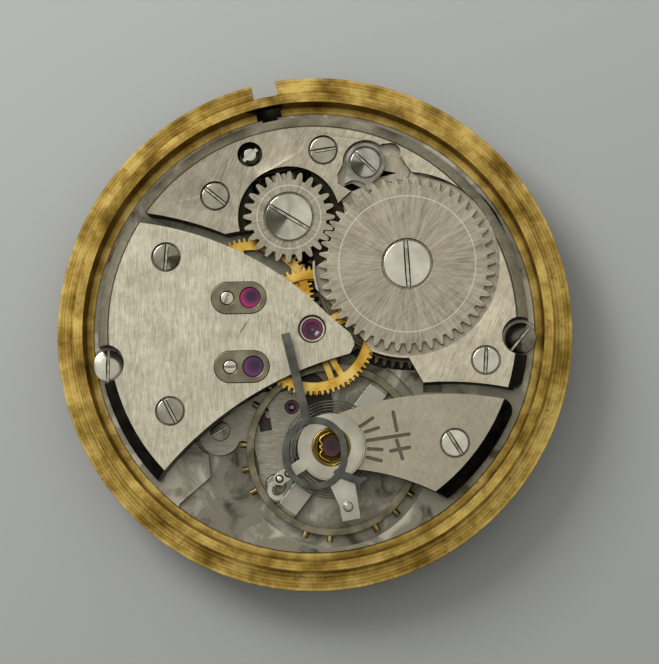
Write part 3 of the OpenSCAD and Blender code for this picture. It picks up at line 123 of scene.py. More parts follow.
def add_node(
    owner: bpy.types.Material | bpy.types.World,
    kind: str,
    inputs: dict[str | int, Any] | None = None,
    stops: Sequence[tuple[float, str]] = (),
    **settings: Any,
) -> bpy.types.Node:
    """Add one shader node with its settings and links.

    Args:
        owner: The material or world whose tree takes the node.
        kind: Blender's name of the node type, without its ShaderNode.
        inputs: Values, sockets, or nodes whose first output is meant, by input name or number.
        stops: Places from 0 to 1 and hex colours, for a colour ramp.
        settings: Attributes of the node.

    Returns:
        The new node.
    """
    tree = owner.node_tree
    node = tree.nodes.new(f"ShaderNode{kind}")
    for key, value in settings.items():
        setattr(node, key, value)
    for key, value in (inputs or {}).items():
        if isinstance(value, bpy.types.Node):
            value = value.outputs[0]
        if isinstance(value, bpy.types.NodeSocket):
            tree.links.new(value, node.inputs[key])
        else:
            node.inputs[key].default_value = value
    if stops:
        elements = node.color_ramp.elements
        while len(elements) < len(stops):
            elements.new(0.5)
        for element, (place, colour) in zip(elements, stops):
            element.position = place
            element.color = linear(colour)
    return node


@dataclass(frozen=True)
class Finish:
    """A surface finish. Patterns are laid out in millimetres on Object coordinates."""

    name: str
    base: str
    worn: str
    light: str
    roughness: float
    metallic: float = 1.0
    blotch_mm: float = 2.0
    grain_mm: float = 0.08
    bump: float = 0.12

    def start(self) -> tuple[bpy.types.Material, Add]:
        """Start an empty material.

        Returns:
            The material, and add_node bound to it.
        """
        material = bpy.data.materials.new(self.name)
        material.use_nodes = True
        material.node_tree.nodes.clear()
        return material, partial(add_node, material)

    def lay_out(
        self,
        add: Add,
        at: Point = (0.0, 0.0),
        turn: float = 0.0,
        stretch: tuple[float, float, float] = (1.0, 1.0, 1.0),
    ) -> bpy.types.Node:
        """Place a pattern on the piece.

        Args:
            add: add_node bound to the material.
            at: The plan point in millimetres that is the pattern's middle.
            turn: Direction of the pattern's X in the plan, in degrees.
            stretch: How much longer the pattern is along each of its axes.

        Returns:
            A node whose output is the place in stretched millimetres.
        """
        return add(
            "Mapping",
            {
                "Vector": add("TexCoord").outputs["Object"],
                "Location": (at[0] * MM, at[1] * MM, 0.0),
                "Rotation": (0.0, 0.0, math.radians(turn)),
                "Scale": tuple(MM * s for s in stretch),
            },
            vector_type="TEXTURE",
        )

    def close(
        self,
        add: Add,
        colour: bpy.types.Node,
        height: bpy.types.Node | None,
        wear: bpy.types.Node | None = None,
        spread: float = 0.1,
        inputs: dict[str | int, Any] | None = None,
    ) -> None:
        """Add the shader, its bump and the output.

        Args:
            add: add_node bound to the material.
            colour: What gives the base colour.
            height: What gives the bump, or None for a smooth surface.
            wear: What moves the roughness, from 0 to 1, or None.
            spread: How far it moves either way.
            inputs: More inputs of the shader.
        """
        sockets: dict[str | int, Any] = {
            "Base Color": colour,
            "Metallic": self.metallic,
            "Roughness": self.roughness,
        }
        if wear is not None:
            limits = {"To Min": self.roughness - spread, "To Max": self.roughness + spread}
            sockets["Roughness"] = add("MapRange", {"Value": wear, **limits})
        if height is not None:
            depth = {"Strength": self.bump, "Distance": 0.02 * MM}
            sockets["Normal"] = add("Bump", {"Height": height, **depth})
        shader = add("BsdfPrincipled", {**sockets, **(inputs or {})})
        add("OutputMaterial", {"Surface": shader})


@dataclass(frozen=True)
class TurnedBrass(Finish):
    """Unlacquered turned brass: close lathe lines, tarnished brown in clouds and pits, with grime
    and painted shade in the corners.
    """

    # the colour of the tarnish in the pits, also used for the painted shade in the corners
    tarnish: str = "#33250B"
    # real lathe lines are finer: they are drawn this wide so that they show
    lathe_line_mm: float = 0.14
    pit_mm: float = 0.3125
    # how much grime and painted shade lie at each radius in millimetres: most at the foot of the
    # lip, on both sides
    dirt: tuple[tuple[float, str], ...] = (
        (12.8, "#505050"),
        (13.12, "#606060"),
        (13.24, "#A8A8A8"),
        (13.3, "#A8A8A8"),
        (13.36, "#000000"),
        (13.92, "#000000"),
        (13.97, "#909090"),
        (14.03, "#909090"),
        (14.09, "#000000"),
    )

    def build(self) -> bpy.types.Material:
        """Make the material: olive gold, tarnished in clouds and pits, with grime and painted shade
        in the inner corners.

        Returns:
            The material.
        """
        material, add = self.start()
        here = self.lay_out(add)
        flat = self.lay_out(add, stretch=(1.0, 1.0, 1e5))
        radius = add("VectorMath", {0: flat}, operation="LENGTH").outputs[1]
        clouds = add(
            "TexNoise",
            {"Vector": here, "Scale": 1 / self.blotch_mm, "Detail": 8.0, "Roughness": 0.6},
        )
        pits = add(
            "TexNoise",
            {"Vector": here, "Scale": 1 / self.pit_mm, "Detail": 6.0, "Roughness": 0.75},
        )
        lines = add(
            "TexNoise",
            {
                "Vector": add("CombineXYZ", {0: radius}),
                "Scale": 1 / self.lathe_line_mm,
                "Detail": 2.0,
            },
        )
        tone = add(
            "ValToRGB",
            {0: add("Mix", {0: 0.3, 2: clouds, 3: lines}, data_type="FLOAT")},
            [(0.38, self.worn), (0.49, self.base), (0.6, self.light)],
        )
        spots = add("ValToRGB", {0: pits}, [(0.34, "#C8C8C8"), (0.43, "#000000")])
        first, last = self.dirt[0][0], self.dirt[-1][0]
        corners = add(
            "ValToRGB",
            {0: add("MapRange", {"Value": radius, "From Min": first, "From Max": last})},
            [((at - first) / (last - first), share) for at, share in self.dirt],
        )
        # grime and painted shade in the corners, with the tarnish of the pits
        dirt = add("Math", {0: corners, 1: spots}, operation="MAXIMUM")
        colour = add("Mix", {0: dirt, 6: tone, 7: linear(self.tarnish)}, data_type="RGBA")
        height = add("Math", {0: lines, 1: spots}, operation="SUBTRACT")
        self.close(add, colour.outputs[2], height, clouds, 0.16)
        return material


@dataclass(frozen=True)
class BrushedNickel(Finish):
    """Nickel-plated brass grained along one direction, with ink in its engraving, and where asked a
    painted shading across it.
    """

    # direction of the grain, and the turn from it to the scratches of wear, in degrees
    turn: float = 90.0
    scratch_turn: float = -34.0
    fibre_mm: float = 0.4545
    scratch_mm: float = 0.3846
    # level of the top, and depths under it: the engraving lies between two, sinks below a third
    top_mm: float = 5.8
    engraved_from_mm: float = 0.035
    engraved_to_mm: float = 0.12
    sink_mm: float = 0.199
    engraving: str = "#4B4537"
    sunk: str = "#8C8674"
    # painted shade in the sink under the crown wheel, where shade falls: its colour, its depth, a
    # plan point and a radius
    oil: str = "#2E2A20"
    oil_below_mm: float = 0.3
    oil_at: Point = (0.0, 0.0)
    oil_r_mm: float = 0.0
    # painted shading: a soft change of tone across the bridge, darker at the first point and lighter
    # towards the second
    dull_from: Point = (0.0, 0.0)
    bright_at: Point = (0.0, 0.0)
    dull: str = "#FFFFFF"

    def build(self) -> bpy.types.Material:
        """Make the material: warm grey with short parallel grain, soft clouds and hair scratches.

        Returns:
            The material.
        """
        material, add = self.start()
        here = self.lay_out(add)
        # the real grain is about 0.02 mm wide: it is drawn a pixel or two wide
        along = self.lay_out(add, turn=self.turn, stretch=(9.0, 1.0, 1.0))
        askew = self.lay_out(add, turn=self.turn + self.scratch_turn, stretch=(14.0, 1.0, 1.0))
        clouds = add("TexNoise", {"Vector": here, "Scale": 1 / self.blotch_mm, "Detail": 3.0})
        fibres = add(
            "TexNoise",
            {"Vector": here, "Scale": 1 / self.fibre_mm, "Detail": 6.0, "Roughness": 0.75},
        )
        grain = add(
            "TexNoise",
            {"Vector": along, "Scale": 1 / self.grain_mm, "Detail": 3.0, "Roughness": 0.7},
        )
        scratches = add(
            "TexNoise",
            {"Vector": askew, "Scale": 1 / self.scratch_mm, "Detail": 5.0, "Roughness": 0.8},
        )
        blend = add("Mix", {0: 0.3, 2: grain, 3: clouds}, data_type="FLOAT")
        blend = add("Mix", {0: 0.3, 2: blend, 3: fibres}, data_type="FLOAT")
        tone = add(
            "ValToRGB", {0: blend}, [(0.36, self.worn), (0.5, self.base), (0.62, self.light)]
        )
        # scratches of wear are thin and dark
        creases = add("ValToRGB", {0: scratches}, [(0.3, "#8E8E8E"), (0.37, "#FFFFFF")])
        tone = add(
            "Mix", {0: 1.0, 6: tone, 7: creases}, data_type="RGBA", blend_type="MULTIPLY"
        ).outputs[2]
        # painted shading: the bridge is painted darker towards one side
        if self.dull_from != self.bright_at:
            way = Vector(self.bright_at) - Vector(self.dull_from)
            across = self.lay_out(
                add,
                at=self.dull_from,
                turn=math.degrees(math.atan2(way.y, way.x)),
                stretch=(way.length, way.length, way.length),
            )
            fade = add(
                "ValToRGB",
                {0: add("SeparateXYZ", {0: across})},
                [(0.0, self.dull), (1.0, "#FFFFFF")],
            )
            tone = add(
                "Mix", {0: 1.0, 6: tone, 7: fade}, data_type="RGBA", blend_type="MULTIPLY"
            ).outputs[2]
        level = add("SeparateXYZ", {0: here}).outputs[2]
        # 1 at the top, and less by the depth in millimetres below it
        height = add(
            "MapRange", {"Value": level, "From Min": self.top_mm - 1.0, "From Max": self.top_mm}
        )
        veil = add("ValToRGB", {0: height}, [(0.0, "#777777"), (1 - self.sink_mm, "#000000")])
        veil.color_ramp.interpolation = "CONSTANT"
        ink = add(
            "ValToRGB",
            {0: height},
            [
                (0.0, "#000000"),
                (1 - self.engraved_to_mm, "#E8E8E8"),
                (1 - self.engraved_from_mm, "#000000"),
            ],
        )
        ink.color_ramp.interpolation = "CONSTANT"
        colour = add("Mix", {0: veil, 6: tone, 7: linear(self.sunk)}, data_type="RGBA")
        colour = add(
            "Mix", {0: ink, 6: colour.outputs[2], 7: linear(self.engraving)}, data_type="RGBA"
        ).outputs[2]
        # painted shade in the sink under the crown wheel
        if self.oil_r_mm:
            flat = self.lay_out(add, at=self.oil_at, stretch=(1.0, 1.0, 1e5))
            away = add("VectorMath", {0: flat}, operation="LENGTH").outputs[1]
            inside = add("Math", {0: away, 1: self.oil_r_mm}, operation="LESS_THAN")
            below = add(
                "Math", {0: level, 1: self.top_mm - self.oil_below_mm}, operation="LESS_THAN"
            )
            oily = add("Math", {0: inside, 1: below}, operation="MULTIPLY")
            colour = add(
                "Mix", {0: oily, 6: colour, 7: linear(self.oil)}, data_type="RGBA"
            ).outputs[2]
        self.close(add, colour, grain, fibres, 0.08)
        return material


@dataclass(frozen=True)
class SunrayNickel(Finish):
    """A winding wheel, snailed so that its scratches run out from the middle, with a turned line."""

    at: Point = (0.0, 0.0)
    # the radial scratches are noise on a circle of this radius, coarser than real ones so that they
    # show, and broad sectors of painted sheen, which stand for the snailing's highlight, are noise
    # on a smaller one
    rays: float = 26.0
    sectors: float = 2.6
    # the scratches of wear that cross them
    scratch_mm: float = 0.3333
    # the turned ring's radius, half its width, and its colour
    line_r_mm: float = 3.95
    line_w_mm: float = 0.06
    line: str = "#D6D1BD"

    def build(self) -> bpy.types.Material:
        """Make the material: grey metal with radial scratches, sectors of painted sheen and one
        bright turned ring.

        Returns:
            The material.
        """
        material, add = self.start()
        flat = self.lay_out(add, at=self.at, stretch=(1.0, 1.0, 1e5))
        askew = self.lay_out(add, at=self.at, turn=40.0, stretch=(12.0, 1.0, 1.0))
        radius = add("VectorMath", {0: flat}, operation="LENGTH").outputs[1]
        direction = add("VectorMath", {0: flat}, operation="NORMALIZE")
        rays = add(
            "VectorMath",
            {0: direction, 1: (self.rays, self.rays, 0.0), 2: add("CombineXYZ", {2: radius})},
            operation="MULTIPLY_ADD",
        )
        scratches = add(
            "TexNoise", {"Vector": rays, "Scale": 1.0, "Detail": 5.0, "Roughness": 0.72}
        )
        sectors = add(
            "TexNoise",
            {"Vector": direction, "Scale": self.sectors, "Detail": 4.0, "Roughness": 0.65},
        )
        hairs = add(
            "TexNoise",
            {"Vector": askew, "Scale": 1 / self.scratch_mm, "Detail": 5.0, "Roughness": 0.85},
        )
        blend = add("Mix", {0: 0.34, 2: scratches, 3: hairs}, data_type="FLOAT")
        blend = add("Mix", {0: 0.25, 2: blend, 3: sectors}, data_type="FLOAT")
        tone = add(
            "ValToRGB", {0: blend}, [(0.38, self.worn), (0.5, self.base), (0.62, self.light)]
        )
        near = {
            "From Min": self.line_r_mm - self.line_w_mm,
            "From Max": self.line_r_mm + self.line_w_mm,
        }
        ring = add(
            "ValToRGB",
            {0: add("MapRange", {"Value": radius, **near})},
            [(0.1, "#000000"), (0.4, "#E0E0E0"), (0.6, "#E0E0E0"), (0.9, "#000000")],
        )
        colour = add("Mix", {0: ring, 6: tone, 7: linear(self.line)}, data_type="RGBA")
        self.close(add, colour.outputs[2], blend, scratches, 0.1)
        return material


@dataclass(frozen=True)
class PolishedMetal(Finish):
    """Metal polished or lapped: hairlines along one direction and faint clouds."""

    turn: float = 30.0
    # round this plan point, out to this radius, the metal has another colour
    at: Point = (0.0, 0.0)
    middle_r_mm: float = 0.0
    middle: str = "#FFFFFF"
    # direction in degrees of the side of a lapped head that is painted dark, a painted reflection
    dark_turn: float | None = None

    def build(self) -> bpy.types.Material:
        """Make the material: bright metal whose hairlines blur its reflections a little.

        Returns:
            The material.
        """
        material, add = self.start()
        here = self.lay_out(add)
        along = self.lay_out(add, turn=self.turn, stretch=(12.0, 1.0, 1.0))
        clouds = add("TexNoise", {"Vector": here, "Scale": 1 / self.blotch_mm, "Detail": 4.0})
        hairlines = add("TexNoise", {"Vector": along, "Scale": 1 / self.grain_mm, "Detail": 2.0})
        tone = add(
            "ValToRGB", {0: clouds}, [(0.34, self.worn), (0.5, self.base), (0.66, self.light)]
        ).outputs[0]
        flat = self.lay_out(add, at=self.at, stretch=(1.0, 1.0, 1e5))
        if self.middle_r_mm:
            away = add("VectorMath", {0: flat}, operation="LENGTH").outputs[1]
            inside = add("Math", {0: away, 1: self.middle_r_mm}, operation="LESS_THAN")
            tone = add(
                "Mix", {0: inside, 6: tone, 7: linear(self.middle)}, data_type="RGBA"
            ).outputs[2]
        if self.dark_turn is not None:
            way = math.radians(self.dark_turn)
            side = add(
                "VectorMath",
                {
                    0: add("VectorMath", {0: flat}, operation="NORMALIZE"),
                    1: (math.cos(way) / 2, math.sin(way) / 2, 0.0),
                },
                operation="DOT_PRODUCT",
            ).outputs[1]
            # painted reflection: rings left by lapping spread each reflection into a wedge, painted
            # bright and dark
            wedges = add(
                "ValToRGB",
                {0: add("Math", {0: side, 1: 0.5}, operation="ADD")},
                [
                    (0.0, "#FFFFFF"),
                    (0.35, "#D8D8D8"),
                    (0.55, "#F0F0F0"),
                    (0.84, "#E6E6E6"),
                    (0.92, "#8A8A84"),
                    (1.0, "#6A6A64"),
                ],
            )
            tone = add(
                "Mix", {0: 1.0, 6: tone, 7: wedges}, data_type="RGBA", blend_type="MULTIPLY"
            ).outputs[2]
        self.close(add, tone, hairlines, clouds, 0.06)
        return material


@dataclass(frozen=True)
class StainedPlate(Finish):
    """The main plate: bright in places, clouded in others, and painted darker in its depths as
    shade.
    """

    # the colour of the painted shade in the plate's depths
    deep: str = "#3A382F"
    # the level up to which the plate is painted in full shade, and the level from which it is
    # painted unshaded
    floor_mm: float = 2.6
    open_mm: float = 3.3

    def build(self) -> bpy.types.Material:
        """Make the material: silver metal with soft stains, and painted shade in the deep rooms.

        Returns:
            The material.
        """
        material, add = self.start()
        here = self.lay_out(add)
        clouds = add(
            "TexNoise",
            {
                "Vector": here,
                "Scale": 1 / self.blotch_mm,
                "Detail": 5.0,
                "Roughness": 0.55,
                "Distortion": 0.8,
            },
        )
        tone = add(
            "ValToRGB",
            {0: clouds},
            [(0.36, self.worn), (0.47, self.base), (0.54, self.base), (0.64, self.light)],
        )
        level = add("SeparateXYZ", {0: here}).outputs[2]
        limits = {"From Min": self.floor_mm, "From Max": self.open_mm}
        open_part = add("MapRange", {"Value": level, **limits})
        colour = add("Mix", {0: open_part, 6: linear(self.deep), 7: tone}, data_type="RGBA")
        self.close(add, colour.outputs[2], clouds, clouds, 0.14)
        return material


@dataclass(frozen=True)
class Ruby(Finish):
    """One jewel of synthetic ruby, painted dark in the middle as shade and painted glowing at one
    side, where light leaves it.
    """

    at: Point = (0.0, 0.0)
    radius_mm: float = 0.6
    # direction of the painted glow in degrees, and the painted dark spot's way off as a share of the
    # radius
    glow_turn: float = 225.0
    off: float = 0.25

    def build(self) -> bpy.types.Material:
        """Make the material: wine red glass, painted nearly black at its heart as shade, and painted
        magenta at one rim as a glow.

        Returns:
            The material.
        """
        material, add = self.start()
        turn, away = math.radians(self.glow_turn), self.off * self.radius_mm
        heart = (self.at[0] - away * math.cos(turn), self.at[1] - away * math.sin(turn))
        flat = self.lay_out(add, at=heart, stretch=(self.radius_mm, self.radius_mm, 1e5))
        reach = add("VectorMath", {0: flat}, operation="LENGTH").outputs[1]
        tone = add(
            "ValToRGB",
            {0: reach},
            [(0.0, self.worn), (0.25, self.worn), (0.55, self.base), (1.0, self.light)],
        )
        # a film of oil dulls its surface reflection
        glass = {"IOR": 1.76, "Specular IOR Level": 0.22}
        self.close(add, tone, None, inputs=glass)
        return material


@dataclass(frozen=True)
class Places:
    """Axes in the plan and the bridges' level, in millimetres, as the frame has them."""

    top_z: float
    barrel: Point
    crown: Point
    balance: Point

    @classmethod
    def of(cls, joints: Sequence[dict[str, Any]]) -> "Places":
        """Read the axes from the frame's joints.

        Args:
            joints: The frame's joints.

        Returns:
            The places.
        """
        axes = {joint["child"]: joint.get("pos_m", (0.0, 0.0, 0.0)) for joint in joints}
        at = {body: (place[0] / MM, place[1] / MM) for body, place in axes.items()}
        top_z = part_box("balance_cock")[1].z / MM
        return cls(top_z, at["ratchet"], at["crown"], at["balance"])


class Finishes:
    """All the finishes of the movement, made once and handed out by name."""

    def __init__(self, places: Places) -> None:
        """Build every material.

        Args:
            places: Where the wheels that carry a centred pattern stand.
        """
        brushed = partial(BrushedNickel, roughness=0.42, top_mm=places.top_z)
        sunray = partial(SunrayNickel, roughness=0.38, bump=0.12)
        polished = partial(PolishedMetal, roughness=0.24, grain_mm=0.05, blotch_mm=1.0)
        finishes = [
            # turned brass, unlacquered for decades: olive gold, with grime and painted shade in its
            # brown corners
            TurnedBrass("turned_brass", "#9B7E3B", "#644D1C", "#CCAF62", 0.34, bump=0.35),
            # nickel plate on brass, grained by hand: warm grey with a soft sheen along one way
            brushed("brushed_train_bridge", "#B9B29C", "#98917D", "#D2CBB6"),
            brushed(
                "brushed_barrel_bridge",
                "#BFB69E",
                "#9D957F",
                "#D6CDB6",
                # painted shading: darker at the upper left, lighter towards the right
                dull_from=(-6.0, 9.0),
                bright_at=(7.0, 3.0),
                dull="#C6C6C6",
                turn=66.0,
                # painted shade under the crown wheel
                oil_at=places.crown,
                oil_r_mm=3.2,
            ),
            brushed("brushed_cock", "#A29B86", "#8F8875", "#B0A994", grain_mm=0.05, bump=0.06),
            # the same plate metal under the click, left matt
            brushed("matt_spring", "#A39D89", "#8A8472", "#B4AE9A", top_mm=9.0, bump=0.06),
            brushed("brushed_low_bridge", "#8F8A7A", "#6D6859", "#A9A492", turn=0.0, top_mm=9.0),
            # the plate's plating has stained: blotches of bright and dull metal, and painted shade
            # in its depths
            StainedPlate("stained_plate", "#858070", "#4B473C", "#B7B2A0", 0.38, blotch_mm=2.6),
            # hardened steel, nickelled and snailed
            sunray("sunray_ratchet", "#A29A86", "#7D7664", "#BBB39E", at=places.barrel),
            sunray(
                "sunray_crown",
                "#9A9380",
                "#6E6857",
                "#B5AE9A",
                at=places.crown,
                line_r_mm=1.85,
                line_w_mm=0.05,
            ),
            # steel polished on a tin block: nearly a mirror, brighter or duller as it is turned
            polished("polished_steel", "#CCC7B4", "#BDB8A5", "#D8D4C4", roughness=0.16),
            polished("mirror_steel", "#B7B3A3", "#A39F90", "#C9C5B6", roughness=0.07),
            polished("screw_steel", "#A19B88", "#8F8A79", "#B0AA97", roughness=0.2, blotch_mm=0.9),
            # screw steel in a darker tone: dull
            polished("dull_screw", "#7D7868", "#5E5A4E", "#8F8A79", roughness=0.2, blotch_mm=0.9),
            # sawn steel at the bottom of the slots: bright, with the saw's marks
            polished("slot_floor", "#A39D8B", "#7D7868", "#C4BFAD", roughness=0.3, blotch_mm=0.4),
            # steel rubbed on fine paper: an even grey
            polished("satin_steel", "#8F8B7E", "#68655A", "#A9A598", roughness=0.3),
            # steel blackened by old oil and heat
            polished("dark_steel", "#55564F", "#43443F", "#66675F", roughness=0.34),
            # painted shade: matt brown-black, in the screws' slots, the stem's way and the rings
            # round the rivets
            polished("slot_dirt", "#1E1B14", "#14120D", "#2B271D", roughness=0.6),
            # sawn and milled sides of the bridges, never polished: painted dark as the shade that
            # falls on them
            polished("oily_wall", "#3A362C", "#26231C", "#4C473A", roughness=0.5),
            # bevels on the near side, painted dark as a painted reflection of the dark room
            polished("oily_bevel", "#2C2A23", "#1C1B16", "#3A372E", roughness=0.22),
            # carbon steel, tempered: grey with a cast of blue
            polished("spring_steel", "#7C7B72", "#5C5B54", "#94938A", roughness=0.3),
            # gilt brass: clean yellow
            polished("gilt_brass", "#DDB352", "#B98A32", "#EBCB7A", roughness=0.28),
            # beryllium bronze gone brown
            polished(
                "balance_bronze",
                "#6E6853",
                "#565040",
                "#857E66",
                roughness=0.3,
                at=places.balance,
                # the arm and the rim's inner edge are bright
                middle_r_mm=4.36,
                middle="#A5A192",
            ),
            # brass of the screws in the balance's rim: dull gold against the brown
            polished("timing_brass", "#8A7A48", "#5F5329", "#A8966A", roughness=0.28),
            # the barrel's brass: dull grey-brown with age, and painted darker as the shade it lies
            # in under the bridge
            polished("aged_brass", "#6B6450", "#4C4736", "#857D66", roughness=0.36),
            # nickelled plates over the cap jewels: darker and browner than the bridge
            polished("cap_nickel", "#7A745F", "#665F4C", "#8C866F", roughness=0.32, turn=90.0),
            # steel of the regulator, polished on its flats: nearly white
            polished("index_steel", "#B0AB9A", "#A09B8A", "#C2BDAC", roughness=0.24, blotch_mm=2.0),
            # gilt setting over the balance's axis: a bright ring round a brown floor
            polished("shock_gilt", "#C9A648", "#94742A", "#E2C675", roughness=0.24),
            polished("shock_floor", "#574519", "#3A2D0E", "#6E5A26", roughness=0.34),
            # aluminium oxide coloured with chromium: wine red glass, with a painted dark heart and a
            # painted glow
            Ruby("ruby", "#56183C", "#3A0F28", "#7A2456", 0.1, metallic=0.0),
        ]
        self.by_name = {finish.name: finish for finish in finishes}
        self.materials = {finish.name: finish.build() for finish in finishes}

    def add(self, finish: Finish) -> bpy.types.Material:
        """Build one more finish and give back its material."""
        self.materials[finish.name] = finish.build()
        return self.materials[finish.name]

    def lapped(self, name: str, at: Point, dark_turn: float | None) -> bpy.types.Material:
        """Build a finish for one screw's head, lapped in rings, with a painted reflection.

        Args:
            name: The finish it is like.
            at: The head's middle in the plan.
            dark_turn: Direction of its painted dark side in degrees, or None.

        Returns:
            The material.
        """
        if dark_turn is None:
            return self.materials[name]
        own_name = f"lapped_{name}_{at[0]:.1f}_{at[1]:.1f}"
        like = self.by_name[name]
        return self.add(replace(like, name=own_name, at=at, dark_turn=dark_turn))

    def dress(self, piece: bpy.types.Object, name: str) -> None:
        """Give a piece one finish all over.

        Args:
            piece: The piece.
            name: The finish's name.
        """
        piece.data.materials.clear()
        piece.data.materials.append(self.materials[name])
        for face in piece.data.polygons:
            face.material_index = 0


class Bench:
    """The modelling operators, used as by hand.

    Pieces are modelled in millimetres and shrunk at the end, because a watch's details are close
    to the smallest lengths that Blender tells apart in metres.
    """

    def deselect(self) -> None:
        """Leave edit mode and drop the whole selection."""
        if bpy.context.object and bpy.context.object.mode != "OBJECT":
            bpy.ops.object.mode_set(mode="OBJECT")
        bpy.ops.object.select_all(action="DESELECT")

    def only(self, piece: bpy.types.Object) -> None:
        """Select one piece alone and make it active."""
        self.deselect()
        piece.select_set(True)
        bpy.context.view_layer.objects.active = piece

    def edit_faces(
        self, piece: bpy.types.Object, test: Callable[[Vector, Vector], bool]
    ) -> None:
        """Enter edit mode with only some faces selected.

        Args:
            piece: The piece.
            test: Tells from a face's centre and normal whether it is selected.
        """
        self.only(piece)
        bpy.ops.object.mode_set(mode="EDIT")
        bpy.ops.mesh.select_mode(type="FACE")
        bpy.ops.mesh.select_all(action="DESELECT")
        bpy.ops.object.mode_set(mode="OBJECT")
        for face in piece.data.polygons:
            face.select = test(face.center, face.normal)
        bpy.ops.object.mode_set(mode="EDIT")

    def paint(
        self,
        piece: bpy.types.Object,
        material: bpy.types.Material,
        test: Callable[[Vector, Vector], bool],
    ) -> None:
        """Give another material to some faces.

        Args:
            piece: The piece.
            material: The material.
            test: Tells from a face's centre and normal whether it takes the material.
        """
        piece.data.materials.append(material)
        self.edit_faces(piece, test)
        piece.active_material_index = len(piece.data.materials) - 1
        bpy.ops.object.material_slot_assign()
        bpy.ops.object.mode_set(mode="OBJECT")

    def apply(self, piece: bpy.types.Object, kind: str, **settings: Any) -> None:
        """Add a modifier and apply it at once.

        Args:
            piece: The piece it works on.
            kind: Blender's name of the modifier.
            settings: Its attributes.
        """
        self.only(piece)
        modifier = piece.modifiers.new(kind.lower(), kind)
        for key, value in settings.items():
            setattr(modifier, key, value)
        bpy.ops.object.modifier_apply(modifier=modifier.name)

    def soften(
        self, piece: bpy.types.Object, width: float, segments: int = 2, angle: float = 30.0
    ) -> None:
        """Break the edges sharper than an angle and shade the piece smooth.

        Args:
            piece: The piece.
            width: Width of the broken edge, in millimetres.
            segments: Facets across it.
            angle: The angle in degrees.
        """
        self.apply(
            piece,
            "BEVEL",
            width=width,
            segments=segments,
            limit_method="ANGLE",
            angle_limit=math.radians(angle),
            use_clamp_overlap=True,
        )
        self.only(piece)
        bpy.ops.object.shade_smooth_by_angle(angle=math.radians(36))
        # large flats keep their own normal, so that only the broken edges look rounded
        self.apply(piece, "WEIGHTED_NORMAL", keep_sharp=True, weight=100)

    def cylinder(
        self, name: str, at: Sequence[float], radius: float, height: float, sides: int = 64
    ) -> bpy.types.Object:
        """Add a cylinder that stands on a point.

        Args:
            name: The piece's name.
            at: Middle of its lower face.
            radius: Its radius.
            height: Its height.
            sides: Its sides.

        Returns:
            The piece.
        """
        self.deselect()
        middle = (at[0], at[1], at[2] + height / 2)
        bpy.ops.mesh.primitive_cylinder_add(
            vertices=sides, radius=radius, depth=height, location=middle
        )
        piece = bpy.context.object
        piece.name = name
        self.settle(piece)
        return piece

    def saw(self, length: float, width: float, depth: float) -> bpy.types.Object:
        """Make the room that a saw takes out of a head: along X, with leaning walls.

        Args:
            length: Length of the cut.
            width: Its width at the top, where Z is zero.
            depth: How deep it goes.

        Returns:
            The room, to be cut out of a head.
        """
        self.deselect()
        bpy.ops.mesh.primitive_cube_add(size=1, location=(0.0, 0.0, 0.5))
        piece = bpy.context.object
        piece.scale = (length, width, 1.0)
        self.settle(piece)
        self.edit_faces(piece, lambda centre, normal: normal.z < -0.9)
        bpy.ops.mesh.extrude_region_move(TRANSFORM_OT_translate={"value": (0.0, 0.0, -depth)})
        bpy.ops.transform.resize(value=(1.0, 0.5, 1.0), center_override=(0.0, 0.0, -depth))
        bpy.ops.object.mode_set(mode="OBJECT")
        return piece

    def settle(self, piece: bpy.types.Object) -> None:
        """Apply the piece's place, turn and scale to its mesh."""
        self.only(piece)
        bpy.ops.object.transform_apply(location=True, rotation=True, scale=True)

    def terrace(self, piece: bpy.types.Object, upper: bool, steps: Sequence[Point]) -> None:
        """Shape the top or bottom of a round piece with insets.

        Args:
            piece: The piece.
            upper: Whether the top is shaped.
            steps: How far in and how far up or out each step goes, from the rim to the middle.
        """
        levels = [v.co.z for v in piece.data.vertices]
        level = max(levels) if upper else min(levels)
        sign = 1.0 if upper else -1.0
        self.edit_faces(
            piece, lambda centre, normal: normal.z * sign > 0.9 and abs(centre.z - level) < 1e-4
        )
        for inward, outward in steps:
            bpy.ops.mesh.inset(thickness=inward, depth=outward)
        bpy.ops.object.mode_set(mode="OBJECT")

    def draw_out(self, piece: bpy.types.Object, inward: float, length: float) -> None:
        """Inset the lower face and extrude it downwards, as a shank under a head.

        Args:
            piece: The piece.
            inward: How far in the shank's side lies from the head's.
            length: The shank's length.
        """
        lowest = min(v.co.z for v in piece.data.vertices)
        self.edit_faces(
            piece, lambda centre, normal: normal.z < -0.9 and abs(centre.z - lowest) < 1e-4
        )
        bpy.ops.mesh.inset(thickness=inward, depth=0.0)
        bpy.ops.mesh.extrude_region_move(TRANSFORM_OT_translate={"value": (0.0, 0.0, -length)})
        bpy.ops.object.mode_set(mode="OBJECT")

    def cut(self, piece: bpy.types.Object, cutter: bpy.types.Object) -> None:
        """Take the cutter's room out of a piece, with the cutter's finish on the new faces.

        Args:
            piece: The piece.
            cutter: The room, which is removed afterwards.
        """
        self.apply(
            piece,
            "BOOLEAN",
            operation="DIFFERENCE",
            object=cutter,
            solver="EXACT",
            material_mode="TRANSFER",
        )
        bpy.data.objects.remove(cutter)

    def copy(self, piece: bpy.types.Object, name: str) -> bpy.types.Object:
        """Copy a piece with a mesh of its own.

        Args:
            piece: The piece.
            name: The copy's name.

        Returns:
            The copy.
        """
        twin = bpy.data.objects.new(name, piece.data.copy())
        bpy.context.scene.collection.objects.link(twin)
        return twin

    def shift(self, piece: bpy.types.Object, to: Sequence[float], turn: float = 0.0) -> None:
        """Turn a piece round its own zero, then move it, within its mesh.

        Args:
            piece: The piece.
            to: Where its zero goes.
            turn: The turn in degrees.
        """
        piece.location = to
        piece.rotation_euler = (0.0, 0.0, math.radians(turn))
        self.settle(piece)

